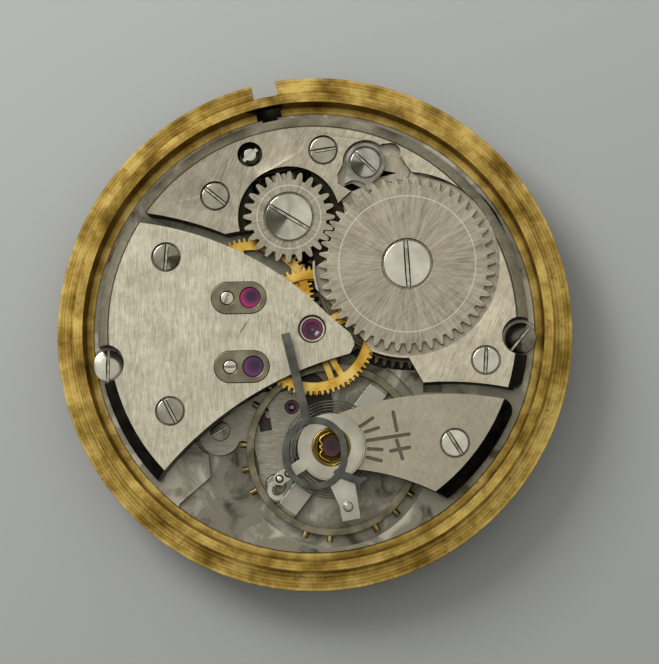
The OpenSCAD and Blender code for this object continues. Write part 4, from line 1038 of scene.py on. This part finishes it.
    def join(self, name: str, pieces: Sequence[bpy.types.Object]) -> bpy.types.Object:
        """Join pieces into one.

        Args:
            name: The joined piece's name.
            pieces: The pieces.

        Returns:
            The joined piece.
        """
        self.deselect()
        for piece in pieces:
            piece.select_set(True)
        bpy.context.view_layer.objects.active = pieces[0]
        if len(pieces) > 1:
            bpy.ops.object.join()
        pieces[0].name = name
        return pieces[0]

    def ribbon(
        self, name: str, route: Sequence[Sequence[float]], thickness: float, height: float
    ) -> bpy.types.Object:
        """Lay a flat strip on its edge along a level route and make it a mesh.

        Args:
            name: The piece's name.
            route: Points of the route, in millimetres.
            thickness: The strip's thickness.
            height: Its height.

        Returns:
            The strip.
        """
        self.deselect()
        bpy.ops.curve.primitive_nurbs_path_add(location=(0, 0, 0))
        piece = bpy.context.object
        piece.name = name
        curve = piece.data
        curve.dimensions = "2D"
        curve.splines.clear()
        spline = curve.splines.new("NURBS")
        spline.points.add(len(route) - 1)
        for knot, point in zip(spline.points, route):
            knot.co = (point[0], point[1], 0.0, 1.0)
        spline.use_endpoint_u = True
        spline.order_u = 3
        spline.resolution_u = 2
        curve.fill_mode = "NONE"
        curve.bevel_depth = thickness / 2
        curve.bevel_resolution = 0
        curve.extrude = height / 2 - thickness / 2
        self.only(piece)
        bpy.ops.object.convert(target="MESH")
        self.shift(bpy.context.object, (0.0, 0.0, route[0][2] + height / 2))
        return bpy.context.object


@dataclass
class Kit:
    """What every sub-assembly works with."""

    bench: Bench
    finishes: Finishes
    places: Places
    nodes: dict[str, bpy.types.Object]
    bodies: dict[str, str]
    slots: dict[str, Slot]

    def replica(self, node: str, name: str) -> bpy.types.Object:
        """Copy a CAD node in millimetres, with its loose triangles merged.

        Args:
            node: The node.
            name: The copy's name.

        Returns:
            The copy.
        """
        bench = self.bench
        piece = bench.copy(self.nodes[node], name)
        piece.data.transform(Matrix.Scale(1 / MM, 4))
        bench.only(piece)
        bpy.ops.object.mode_set(mode="EDIT")
        bpy.ops.mesh.select_all(action="SELECT")
        bpy.ops.mesh.remove_doubles(threshold=MERGE_MM)
        bpy.ops.mesh.dissolve_limited(angle_limit=math.radians(0.6))
        bpy.ops.object.mode_set(mode="OBJECT")
        return piece

    def solids(self, node: str) -> list[tuple[Vector, Vector]]:
        """Measure the separate solids of a CAD node.

        Args:
            node: The node.

        Returns:
            Each solid's lowest and highest corner in millimetres, from left to right.
        """
        piece = self.replica(node, f"{node}_measured")
        bpy.ops.mesh.separate(type="LOOSE")
        boxes = []
        for part in list(bpy.context.selected_objects):
            corners = [Vector(c) for c in part.bound_box]
            boxes.append((corners[0], corners[6]))
            bpy.data.objects.remove(part)
        return sorted(boxes, key=lambda box: box[0].x)

    def mount(self, piece: bpy.types.Object, node: str, finish: str | None = None) -> None:
        """Shrink a finished piece and put it in the place of a CAD node.

        Args:
            piece: The piece, in millimetres.
            node: The node that it stands for.
            finish: Its finish, unless it already has one.
        """
        LOG.info("made %s for %s", piece.name, node)
        piece.data.transform(Matrix.Scale(MM, 4))
        if finish:
            self.finishes.dress(piece, finish)
        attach(piece, self.bodies[node])
        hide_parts(node)

    def eased(
        self,
        node: str,
        finish: str,
        width: float,
        segments: int = 2,
        painted: dict[str, Callable[[Vector, Vector], bool]] | None = None,
    ) -> None:
        """Stand for a CAD node with a copy whose edges are broken, as a polisher leaves them.

        Args:
            node: The node.
            finish: The finish's name.
            width: Width of the broken edge, in millimetres.
            segments: Facets across the broken edge.
            painted: Other finishes, each with a test of a face's centre and normal.
        """
        piece = self.replica(node, f"{node}_eased")
        self.bench.soften(piece, width, segments)
        self.finishes.dress(piece, finish)
        for name, test in (painted or {}).items():
            self.bench.paint(piece, self.finishes.materials[name], test)
        self.mount(piece, node)


@dataclass
class CasingAndPlate:
    """The casing ring and the main plate."""

    kit: Kit
    ring_edge: float = 0.05
    plate_edge: float = 0.03
    # the stem's way through the ring: its direction in degrees, half its width and its inner end
    stem_turn: float = 100.8
    stem_half_w: float = 1.0
    stem_from: float = 12.4
    stem_to: float = 13.8
    # plan places of the dial feet holes, and the level at which their plugs end
    foot_places: tuple[Point, ...] = ((5.7, 9.87), (-5.7, -9.87))
    foot_r: float = 0.36
    foot_low: float = 2.0

    def in_stem_way(self, centre: Vector, normal: Vector) -> bool:
        """Tell whether a face lies where the stem passes through the ring's inner wall.

        Args:
            centre: The face's centre.
            normal: Its normal.

        Returns:
            Whether it lies there.
        """
        turn = math.radians(self.stem_turn)
        along = centre.x * math.cos(turn) + centre.y * math.sin(turn)
        across = centre.y * math.cos(turn) - centre.x * math.sin(turn)
        return self.stem_from < along < self.stem_to and abs(across) < self.stem_half_w

    def build(self) -> None:
        """Break the ring's and the plate's edges, paint shade on the stem's way and fill the foot
        holes.
        """
        kit, bench = self.kit, self.kit.bench
        kit.eased(
            "casing_ring", "turned_brass", self.ring_edge, 3, {"slot_dirt": self.in_stem_way}
        )
        plate = kit.replica("main_plate", "main_plate_eased")
        bench.soften(plate, self.plate_edge)
        plugs = []
        for x, y in self.foot_places:
            beside = Vector((x + 2 * self.foot_r, y, kit.places.top_z))
            level = plate.ray_cast(beside, Vector((0, 0, -1)))[1].z
            plug_h = level - self.foot_low - self.plate_edge
            plugs.append(bench.cylinder("foot_end", (x, y, self.foot_low), self.foot_r, plug_h))
        kit.mount(bench.join("main_plate_eased", [plate, *plugs]), "main_plate", "stained_plate")


@dataclass
class Bridges:
    """The four bridges, with the fine broken edge that lines their outlines."""

    kit: Kit
    edge: float = 0.035
    # bevels with a lower Y than this are painted dark, a painted reflection of the dark room
    dark_below: float = -1.2
    # how far a face's normal may rise if it is a wall, and if it is a bevel
    wall_rise: float = 0.3
    bevel_rise: float = 0.9

    def is_wall(self, centre: Vector, normal: Vector) -> bool:
        """Tell whether a face is a side of a bridge, which takes painted shade."""
        return abs(normal.z) < self.wall_rise

    def is_dark_bevel(self, centre: Vector, normal: Vector) -> bool:
        """Tell whether a face is a bevel on the side painted with a dark reflection."""
        return self.wall_rise < normal.z < self.bevel_rise and centre.y < self.dark_below

    def build(self) -> None:
        """Break the bridges' edges and dress them."""
        # the sides take painted shade, and the near bevels a painted dark reflection
        sides = {"oily_wall": self.is_wall, "oily_bevel": self.is_dark_bevel}
        for node in ("barrel_bridge", "train_bridge"):
            self.kit.eased(node, f"brushed_{node}", self.edge, painted=sides)
        self.kit.eased("balance_cock", "brushed_cock", self.edge, painted=sides)
        self.kit.eased("pallet_bridge", "brushed_low_bridge", self.edge / 2)


@dataclass(frozen=True)
class ScrewSpec:
    """One kind of slotted screw. Its head's radius, its length and its places come from its CAD
    node.
    """

    node: str
    # each head's slot direction, finish and painted dark side, in degrees, from the leftmost screw
    # on
    heads: tuple[tuple[float, str, float | None], ...]
    head_h: float
    shank_r: float
    slot_w: float
    slot_deep: float
    dome: float = 0.03
    chamfer: float = 0.07
    # the head is this much smaller than the CAD's, so that the dark ring round it shows
    ease: float = 0.045


@dataclass
class Screws:
    """Every screw, each turned with a chamfered, slightly domed head and a sawn slot."""

    kit: Kit
    specs: tuple[ScrewSpec, ...] = (
        ScrewSpec(
            "bridge_screws",
            (
                (85.0, "screw_steel", -30.0),
                (-63.0, "screw_steel", None),
                (-40.0, "screw_steel", None),
                (8.0, "screw_steel", None),
                (-59.0, "polished_steel", None),
                (86.0, "polished_steel", None),
            ),
            head_h=0.5,
            shank_r=0.33,
            slot_w=0.24,
            slot_deep=0.12,
        ),
        ScrewSpec(
            "casing_screws",
            ((88.0, "polished_steel", None), (50.0, "dull_screw", 235.0)),
            head_h=0.48,
            shank_r=0.33,
            slot_w=0.24,
            slot_deep=0.14,
            dome=0.1,
        ),
        ScrewSpec(
            "ratchet_screw",
            ((-87.0, "polished_steel", None),),
            head_h=0.34,
            shank_r=0.27,
            slot_w=0.32,
            slot_deep=0.12,
        ),
        ScrewSpec(
            "crown_wheel_screw",
            ((-32.0, "polished_steel", 195.0),),
            head_h=0.34,
            shank_r=0.33,
            slot_w=0.26,
            slot_deep=0.12,
        ),
        ScrewSpec(
            "click_screw",
            ((-44.0, "mirror_steel", 210.0),),
            head_h=0.3,
            shank_r=0.28,
            slot_w=0.22,
            slot_deep=0.12,
        ),
        ScrewSpec(
            "cap_plate_screws",
            ((68.0, "polished_steel", None), (3.0, "polished_steel", None)),
            head_h=0.17,
            shank_r=0.17,
            slot_w=0.13,
            slot_deep=0.07,
            dome=0.03,
            chamfer=0.03,
            ease=0.01,
        ),
        ScrewSpec(
            "pallet_bridge_screws",
            ((30.0, "dull_screw", None), (30.0, "dull_screw", None)),
            head_h=0.2,
            shank_r=0.22,
            slot_w=0.16,
            slot_deep=0.08,
            dome=0.02,
            chamfer=0.04,
        ),
    )

    def turn(self, spec: ScrewSpec, radius: float, length: float) -> bpy.types.Object:
        """Turn one screw with its head's top at zero, and saw its slot along X.

        Args:
            spec: The kind of screw.
            radius: The head's radius.
            length: The whole length.

        Returns:
            The screw, whose second and third finish are the slot's walls and floor.
        """
        bench, finishes = self.kit.bench, self.kit.finishes
        rim_h = spec.head_h - spec.chamfer * 0.7 - spec.dome
        piece = bench.cylinder(f"{spec.node}_turned", (0, 0, -spec.head_h), radius, rim_h)
        inner = radius - spec.chamfer
        bench.terrace(
            piece,
            True,
            [
                (spec.chamfer * 0.3, spec.chamfer * 0.45),
                (spec.chamfer * 0.7, spec.chamfer * 0.25),
                (inner * 0.3, spec.dome * 0.5),
                (inner * 0.3, spec.dome * 0.35),
                (inner * 0.25, spec.dome * 0.15),
            ],
        )
        bench.draw_out(piece, radius - spec.shank_r, length - spec.head_h)
        finishes.dress(piece, "polished_steel")
        saw = bench.saw(3 * radius, spec.slot_w, spec.slot_deep)
        # the slot's walls take painted shade
        finishes.dress(saw, "slot_dirt")
        bench.paint(
            saw, finishes.materials["slot_floor"], lambda centre, normal: normal.z < -0.9
        )
        bench.cut(piece, saw)
        bench.soften(piece, 0.012, 1, 40.0)
        return piece

    def build(self) -> None:
        """Make each kind of screw once and copy it to its places."""
        bench = self.kit.bench
        for spec in self.specs:
            boxes = self.kit.solids(spec.node)
            low, high = boxes[0]
            model = self.turn(spec, (high.x - low.x) / 2 - spec.ease, high.z - low.z)
            row = []
            for (low, high), (turn, finish, dark_turn) in zip(boxes, spec.heads, strict=True):
                screw = bench.copy(model, f"{spec.node}_turned")
                middle = (low + high) / 2
                screw.data.materials[0] = self.kit.finishes.lapped(
                    finish, (middle.x, middle.y), dark_turn
                )
                bench.shift(screw, (middle.x, middle.y, high.z), turn)
                row.append(screw)
            bpy.data.objects.remove(model)
            self.kit.mount(bench.join(f"{spec.node}_turned", row), spec.node)


@dataclass
class WindingWork:
    """Ratchet, crown wheel, click and their springs and pinions."""

    kit: Kit
    tooth_edge: float = 0.03
    small_edge: float = 0.02

    def build(self) -> None:
        """Break the edges of the teeth and dress the winding work."""
        self.kit.eased("ratchet_wheel", "sunray_ratchet", self.tooth_edge)
        self.kit.eased("crown_wheel", "sunray_crown", self.tooth_edge)
        self.kit.eased("click", "satin_steel", self.tooth_edge)
        self.kit.eased("click_spring", "matt_spring", self.small_edge)
        self.kit.eased("setting_lever_screw", "mirror_steel", self.tooth_edge, 3)
        for node in ("winding_pinion", "sliding_pinion", "setting_lever", "yoke"):
            self.kit.eased(node, "satin_steel", self.small_edge)


@dataclass
class Train:
    """The gilt wheels and their steel pinions."""

    kit: Kit
    edge: float = 0.012

    def build(self) -> None:
        """Break the edges of the wheels and dress them."""
        gilt = ("centre_wheel", "third_wheel", "fourth_wheel", "minute_wheel", "hour_wheel")
        for node in gilt:
            self.kit.eased(node, "gilt_brass", self.edge, 1)
        for node in ("barrel_drum", "barrel_cover"):
            self.kit.eased(node, "aged_brass", self.edge, 1)
        for node in ("escape_wheel", "pallet_fork", "setting_wheel"):
            self.kit.eased(node, "satin_steel", self.edge, 1)


@dataclass
class Jewels:
    """Ruby bearings with dished oil sinks, cap jewels and plates, and the shock setting."""

    kit: Kit
    sides: int = 48
    edge: float = 0.03
    pivot_r: float = 0.1
    # base, painted dark heart and painted glowing side of the pivots' jewels, the two cap jewels and
    # the shock's
    train: tuple[str, str, str] = ("#4A1434", "#2A0B20", "#5C2040")
    caps: tuple[tuple[str, str, str], ...] = (
        ("#401540", "#2A0F2C", "#9C1F5A"),
        ("#3C1B42", "#2A1030", "#5C2A58"),
    )
    over_balance: tuple[str, str, str] = ("#2A0A10", "#0E0405", "#4A1420")
    # the shock setting's stone and floor, and how far its floor lies under its rim
    shock_r: float = 0.56
    shock_floor_r: float = 0.97
    shock_floor_deep: float = 0.19
    # the lyre spring's left half, from its open end to its hinge, round the balance's axis
    lyre: tuple[Point, ...] = (
        (-0.1, 0.82),
        (-0.45, 0.7),
        (-0.72, 0.42),
        (-0.55, 0.22),
        (-0.5, 0.1),
        (-0.72, 0.0),
    )
    lyre_w: float = 0.11

    def ruby(self, middle: Vector, radius: float, colours: Sequence[str], turn: float) -> str:
        """Make the ruby of one jewel.

        Args:
            middle: The jewel's middle in the plan.
            radius: Its radius.
            colours: Base, painted dark heart and painted glowing side.
            turn: Direction of the painted glow in degrees.

        Returns:
            The finish's name.
        """
        name = f"ruby_{middle.x:.1f}_{middle.y:.1f}_{middle.z:.1f}"
        stone = Ruby(name, *colours, roughness=0.1, metallic=0.0)
        place = (middle.x, middle.y)
        self.kit.finishes.add(replace(stone, at=place, radius_mm=radius, glow_turn=turn))
        return name

    def stone(self, low: Vector, high: Vector, hole: float) -> bpy.types.Object:
        """Turn one jewel with a bevelled rim, hollowed round the pivot's hole if it has one.

        Args:
            low: Lowest corner of its box.
            high: Highest corner of its box.
            hole: Radius of the hole, or 0 for a cap jewel, which is domed.

        Returns:
            The jewel.
        """
        bench, middle = self.kit.bench, (low + high) / 2
        radius, height = (high.x - low.x) / 2, high.z - low.z
        sink = min(0.1, height * 0.3) if hole else -self.edge * 0.6
        rim = self.edge if hole else self.edge * 1.6
        at = (middle.x, middle.y, low.z)
        piece = bench.cylinder("jewel", at, radius, height - rim, self.sides)
        steps = [(self.edge, self.edge), (radius * 0.2, 0.0), (radius * 0.1, -sink * 0.3)]
        steps += [(radius * 0.2, -sink * 0.5), (radius * 0.2, -sink * 0.2)]
        bench.terrace(piece, True, steps)
        if hole:
            drill_at = (at[0], at[1], at[2] - 1)
            bench.cut(piece, bench.cylinder("drill", drill_at, hole, height + 2, 24))
        bench.soften(piece, 0.01, 1, 50.0)
        return piece

    def set_of(
        self, node: str, hole: float, palette: Sequence[Sequence[str]], turn: float
    ) -> None:
        """Make all the jewels of a node.

        Args:
            node: The node.
            hole: Radius of their holes, or 0.
            palette: Base, painted dark heart and painted glowing side, in turn from the leftmost
                jewel on.
            turn: Direction of the painted glow in degrees.
        """
        kit, row = self.kit, []
        for (low, high), colours in zip(kit.solids(node), cycle(palette)):
            jewel = self.stone(low, high, hole)
            kit.finishes.dress(
                jewel, self.ruby((low + high) / 2, (high.x - low.x) / 2, colours, turn)
            )
            row.append(jewel)
        kit.mount(kit.bench.join(f"{node}_turned", row), node)

    def shock(self) -> None:
        """Make the shock setting over the balance's axis: stone, gilt setting and lyre spring."""
        kit, bench = self.kit, self.kit.bench
        jewels = []
        for low, high in kit.solids("shock_jewels"):
            middle = (low + high) / 2
            reach = Vector((self.shock_r, self.shock_r, (high.z - low.z) / 2))
            jewel = self.stone(middle - reach, middle + reach, 0.0)
            name = self.ruby(middle, self.shock_r, self.over_balance, 250.0)
            kit.finishes.dress(jewel, name)
            jewels.append(jewel)
        kit.mount(bench.join("shock_jewels_turned", jewels), "shock_jewels")
        x, y = kit.places.balance
        floor_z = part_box("shock_settings")[1].z / MM - self.shock_floor_deep

        def is_floor(centre: Vector, normal: Vector) -> bool:
            """Tell whether a face of the setting takes the dark brown floor finish."""
            return math.hypot(centre.x - x, centre.y - y) < self.shock_floor_r or centre.z < floor_z

        kit.eased("shock_settings", "shock_gilt", self.edge, 3, {"shock_floor": is_floor})
        low, high = (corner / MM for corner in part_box("shock_springs"))
        half = [(x + px, y + py, low.z) for px, py in self.lyre]
        other = [(x + px, y - py, low.z) for px, py in reversed(self.lyre[:-1])]
        spring = bench.ribbon("shock_springs_bent", half + other, self.lyre_w, high.z - low.z)
        kit.mount(spring, "shock_springs", "shock_gilt")

    def build(self) -> None:
        """Make the jewels and the shock setting, and dress the cap plates."""
        self.set_of("train_jewels", self.pivot_r, [self.train], 60.0)
        self.set_of("cap_jewels", 0.0, self.caps, 225.0)
        self.kit.eased("cap_plates", "cap_nickel", 0.05, 3)
        self.shock()


@dataclass
class Hairspring:
    """The balance spring: many close coils and a wide last stretch out to the stud."""

    kit: Kit
    inner_r: float = 0.62
    coil_r: float = 2.85
    turns: int = 13
    # thicker than the real 0.03 mm, so that its coils show
    thickness: float = 0.07
    points_a_turn: int = 20
    # the stud's way from the stud carrier's corner of least X and Y
    stud_reach: Point = (2.88, 0.86)
    # over this last share of a turn, in this many points, the spring swings out to the stud
    swing_out: float = 0.45
    swing_points: int = 9
    outer_r: float = 3.2

    def build(self) -> None:
        """Wind the spring from its collet to its stud, at the level of its CAD node."""
        low, high = (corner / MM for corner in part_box("hairspring"))
        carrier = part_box("stud_carrier")[0] / MM
        middle = Vector(self.kit.places.balance)
        stud = carrier.xy + Vector(self.stud_reach) - middle
        end_angle = math.atan2(stud.y, stud.x)
        count = self.turns * self.points_a_turn
        route = []
        for i in range(count + 1):
            share = i / count
            left = self.turns - i / self.points_a_turn + self.swing_out
            angle = end_angle - left * 2 * math.pi
            radius = self.inner_r + (self.coil_r - self.inner_r) * share
            route.append((angle, radius))
        for i in range(1, self.swing_points + 1):
            share = i / self.swing_points
            eased = share * share * (3 - 2 * share)
            angle = end_angle - self.swing_out * 2 * math.pi * (1 - share)
            radius = self.coil_r + (high.x - low.x - 2 * self.coil_r) / 2 * eased
            route.append((angle, min(radius, self.outer_r)))
        points = [
            (middle.x + r * math.cos(a), middle.y + r * math.sin(a), low.z) for a, r in route
        ]
        piece = self.kit.bench.ribbon(
            "hairspring_wound", points, self.thickness, high.z - low.z
        )
        self.kit.mount(piece, "hairspring", "spring_steel")


@dataclass
class BalanceWork:
    """The balance, its timing screws, the regulator and the stud."""

    kit: Kit
    # direction of the regulator's arm, and the two pins along it
    arm_turn: float = 210.8
    pins: tuple[float, ...] = (2.88, 3.48)
    pin_r: float = 0.17
    pin_gap: float = 0.07
    pin_deep: float = 0.12
    # how far a pin's side ends under the arm's top, before its rounded end
    pin_low: float = 0.05

    def index(self) -> None:
        """Rivet the regulator's two pins into its arm, each in a ring of painted shade."""
        kit, bench = self.kit, self.kit.bench
        turn = math.radians(self.arm_turn)
        middle, top = Vector(kit.places.balance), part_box("index_regulator")[1].z / MM
        index = kit.replica("index_regulator", "index_regulator_eased")
        bench.soften(index, 0.05, 3)
        kit.finishes.dress(index, "index_steel")
        rivets = []
        for reach in self.pins:
            x = middle.x + reach * math.cos(turn)
            y = middle.y + reach * math.sin(turn)
            low = top - self.pin_deep
            bore = bench.cylinder("bore", (x, y, low), self.pin_r + self.pin_gap, 1.0, 32)
            kit.finishes.dress(bore, "slot_dirt")
            bench.cut(index, bore)
            side_h = self.pin_deep - self.pin_low
            rivet = bench.cylinder("rivet", (x, y, low), self.pin_r, side_h, 32)
            bench.terrace(rivet, True, [(0.03, 0.03), (0.06, 0.015), (0.05, 0.005)])
            bench.soften(rivet, 0.01, 1, 50.0)
            kit.finishes.dress(rivet, "polished_steel")
            rivets.append(rivet)
        kit.mount(bench.join("index_regulator_eased", [index, *rivets]), "index_regulator")

    def build(self) -> None:
        """Break the edges of the balance and of what stands over it, and dress them."""
        kit = self.kit
        kit.eased("balance_wheel", "balance_bronze", 0.03)
        kit.eased("timing_screws", "timing_brass", 0.02)
        kit.eased("stud_carrier", "index_steel", 0.03)
        self.index()
        kit.eased("regulator_lever", "dark_steel", 0.04, 3)


class PlainNodes:
    """The CAD nodes that keep their own mesh and take a finish by slot."""

    FINISH: dict[Slot, str] = {
        Slot.CASING_RING: "turned_brass",
        Slot.MAIN_PLATE: "stained_plate",
        Slot.BRIDGE: "brushed_low_bridge",
        Slot.SCREW: "screw_steel",
        Slot.WINDING_STEEL: "sunray_ratchet",
        Slot.STEEL: "satin_steel",
        Slot.DARK_LEVER: "dark_steel",
        Slot.SPRING_STEEL: "spring_steel",
        Slot.WHEEL_BRASS: "gilt_brass",
        Slot.BALANCE_ALLOY: "balance_bronze",
        Slot.TIMING_BRASS: "timing_brass",
        Slot.RUBY: "ruby",
        Slot.CAP_PLATE: "cap_nickel",
        Slot.SHOCK_BRASS: "shock_gilt",
    }

    def __init__(self, kit: Kit) -> None:
        self.kit = kit

    def build(self) -> None:
        """Dress every CAD node by its slot."""
        for node, slot in self.kit.slots.items():
            self.kit.finishes.dress(self.kit.nodes[node], self.FINISH[slot])


@dataclass
class Studio:
    """The pale table, the soft light and the camera."""

    distance_mm: float = 200.0
    tilt: float = 6.415
    azimuth: float = -65.907
    roll: float = 0.8633
    target_mm: tuple[float, float, float] = (0.92, -0.018, 4.0)
    pixels_per_mm: float = 17.2216
    frame_px: tuple[int, int] = (659, 664)
    sensor_mm: float = 36.0
    # painted light: the paper's tone changes along this direction in degrees, over this length
    paper_turn: float = 112.0
    paper_mm: float = 44.0
    table_m: float = 0.6
    # the room is bright on this side and overhead
    room_bright: tuple[float, float, float] = (-0.03, 0.5, 1.0)
    room_strength: float = 0.9
    window_at_mm: tuple[float, float, float] = (-150.0, 150.0, 200.0)
    window_mm: float = 130.0
    window_w: float = 0.5

    def camera(self) -> None:
        """Set the camera where the photograph's was, over the movement."""
        tilt, azimuth, roll = (math.radians(a) for a in (self.tilt, self.azimuth, self.roll))
        lean = math.sin(tilt)
        away = Vector((math.cos(azimuth) * lean, math.sin(azimuth) * lean, math.cos(tilt)))
        right = Vector((math.sin(roll), math.cos(roll), 0.0)).cross(away).normalized()
        axes = Matrix((right, away.cross(right), away)).transposed().to_4x4()
        data = bpy.data.cameras.new("camera")
        data.sensor_fit = "HORIZONTAL"
        data.sensor_width = self.sensor_mm
        data.lens = self.sensor_mm * self.pixels_per_mm * self.distance_mm / self.frame_px[0]
        data.clip_start = 0.005
        data.clip_end = 5.0
        camera = bpy.data.objects.new("camera", data)
        place = (Vector(self.target_mm) + self.distance_mm * away) * MM
        camera.matrix_world = Matrix.Translation(place) @ axes
        bpy.context.scene.collection.objects.link(camera)
        bpy.context.scene.camera = camera

    def lamp(self, name: str, at_mm: Sequence[float], size_mm: float, power: float) -> None:
        """Add one soft square lamp that faces the movement.

        Args:
            name: The lamp's name.
            at_mm: Its place.
            size_mm: Its side.
            power: Its power in watts.
        """
        data = bpy.data.lights.new(name, "AREA")
        data.shape = "SQUARE"
        data.size = size_mm * MM
        data.energy = power
        lamp = bpy.data.objects.new(name, data)
        lamp.location = Vector(at_mm) * MM
        lamp.rotation_euler = (-lamp.location).to_track_quat("-Z", "Y").to_euler()
        bpy.context.scene.collection.objects.link(lamp)

    def table(self) -> None:
        """Lay a table of pale matt paper under the movement."""
        bpy.ops.object.select_all(action="DESELECT")
        bpy.ops.mesh.primitive_plane_add(size=self.table_m, location=(0, 0, 0))
        floor = bpy.context.object
        floor.name = "table"
        bpy.ops.object.transform_apply(location=True, rotation=True, scale=True)
        paper = Finish("matt_paper", "#A6A8A5", "#9C9E9B", "#B0B3B0", 0.8, 0.0, blotch_mm=14.0)
        material, add = paper.start()
        here = paper.lay_out(add)
        clouds = add("TexNoise", {"Vector": here, "Scale": 1 / paper.blotch_mm, "Detail": 4.0})
        # painted light falling off towards the paper's near end: the tone changes along a slanting
        # line
        length = (self.paper_mm, self.paper_mm, self.paper_mm)
        slanted = add("SeparateXYZ", {0: paper.lay_out(add, turn=self.paper_turn, stretch=length)})
        place = add("Math", {0: slanted, 1: 0.5}, operation="ADD")
        place = add("Mix", {0: 0.06, 2: place, 3: clouds}, data_type="FLOAT")
        stops = [(0.0, paper.worn), (0.5, paper.base), (1.0, paper.light)]
        tone = add("ValToRGB", {0: place}, stops)
        paper.close(add, tone, None)
        floor.data.materials.append(material)
        floor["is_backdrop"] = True

    def room(self) -> None:
        """Surround the table with a soft room: bright overhead, nearly dark on the near side."""
        world = bpy.data.worlds.new("room")
        bpy.context.scene.world = world
        world.use_nodes = True
        world.node_tree.nodes.clear()
        add = partial(add_node, world)
        direction = add("TexCoord").outputs["Generated"]
        slant = add(
            "VectorMath", {0: direction, 1: self.room_bright}, operation="DOT_PRODUCT"
        ).outputs[1]
        tone = add(
            "ValToRGB",
            {0: add("MapRange", {"Value": slant, "From Min": -0.4, "From Max": 1.0})},
            [
                (0.0, "#090908"),
                (0.18, "#0E0E0D"),
                (0.3, "#A3A19C"),
                (0.5, "#A09E99"),
                (0.6, "#7C7A75"),
                (0.78, "#D4D3D0"),
                (0.97, "#F4F4F2"),
            ],
        )
        add("OutputWorld", {0: add("Background", {0: tone, 1: self.room_strength})})

    def build(self) -> None:
        """Set up the whole studio."""
        self.camera()
        self.table()
        self.room()
        self.lamp("window", self.window_at_mm, self.window_mm, self.window_w)
        bpy.context.scene.view_settings.view_transform = "Standard"


def main() -> None:
    """Load the frame, dress the movement in order, and measure the bounds before and after."""
    logging.basicConfig(level=logging.INFO, format="%(message)s")
    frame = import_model()
    cad_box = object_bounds()
    record = frame["record"]
    places = Places.of(frame["joints"])
    Studio().build()
    bodies = {n: body for body, nodes in record["behaviour"]["bodies"].items() for n in nodes}
    slots = {s["node"]: Slot(s["material_slot"]) for s in record["subparts"]}
    kit = Kit(Bench(), Finishes(places), places, frame["nodes"], bodies, slots)
    assemblies = [
        PlainNodes(kit),
        CasingAndPlate(kit),
        Bridges(kit),
        Screws(kit),
        WindingWork(kit),
        Train(kit),
        Jewels(kit),
        Hairspring(kit),
        BalanceWork(kit),
    ]
    for assembly in assemblies:
        assembly.build()
        LOG.info("built %s", type(assembly).__name__)
    boxes = [[list(corner) for corner in box] for box in (cad_box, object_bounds())]


if __name__ == "__main__":
    main()
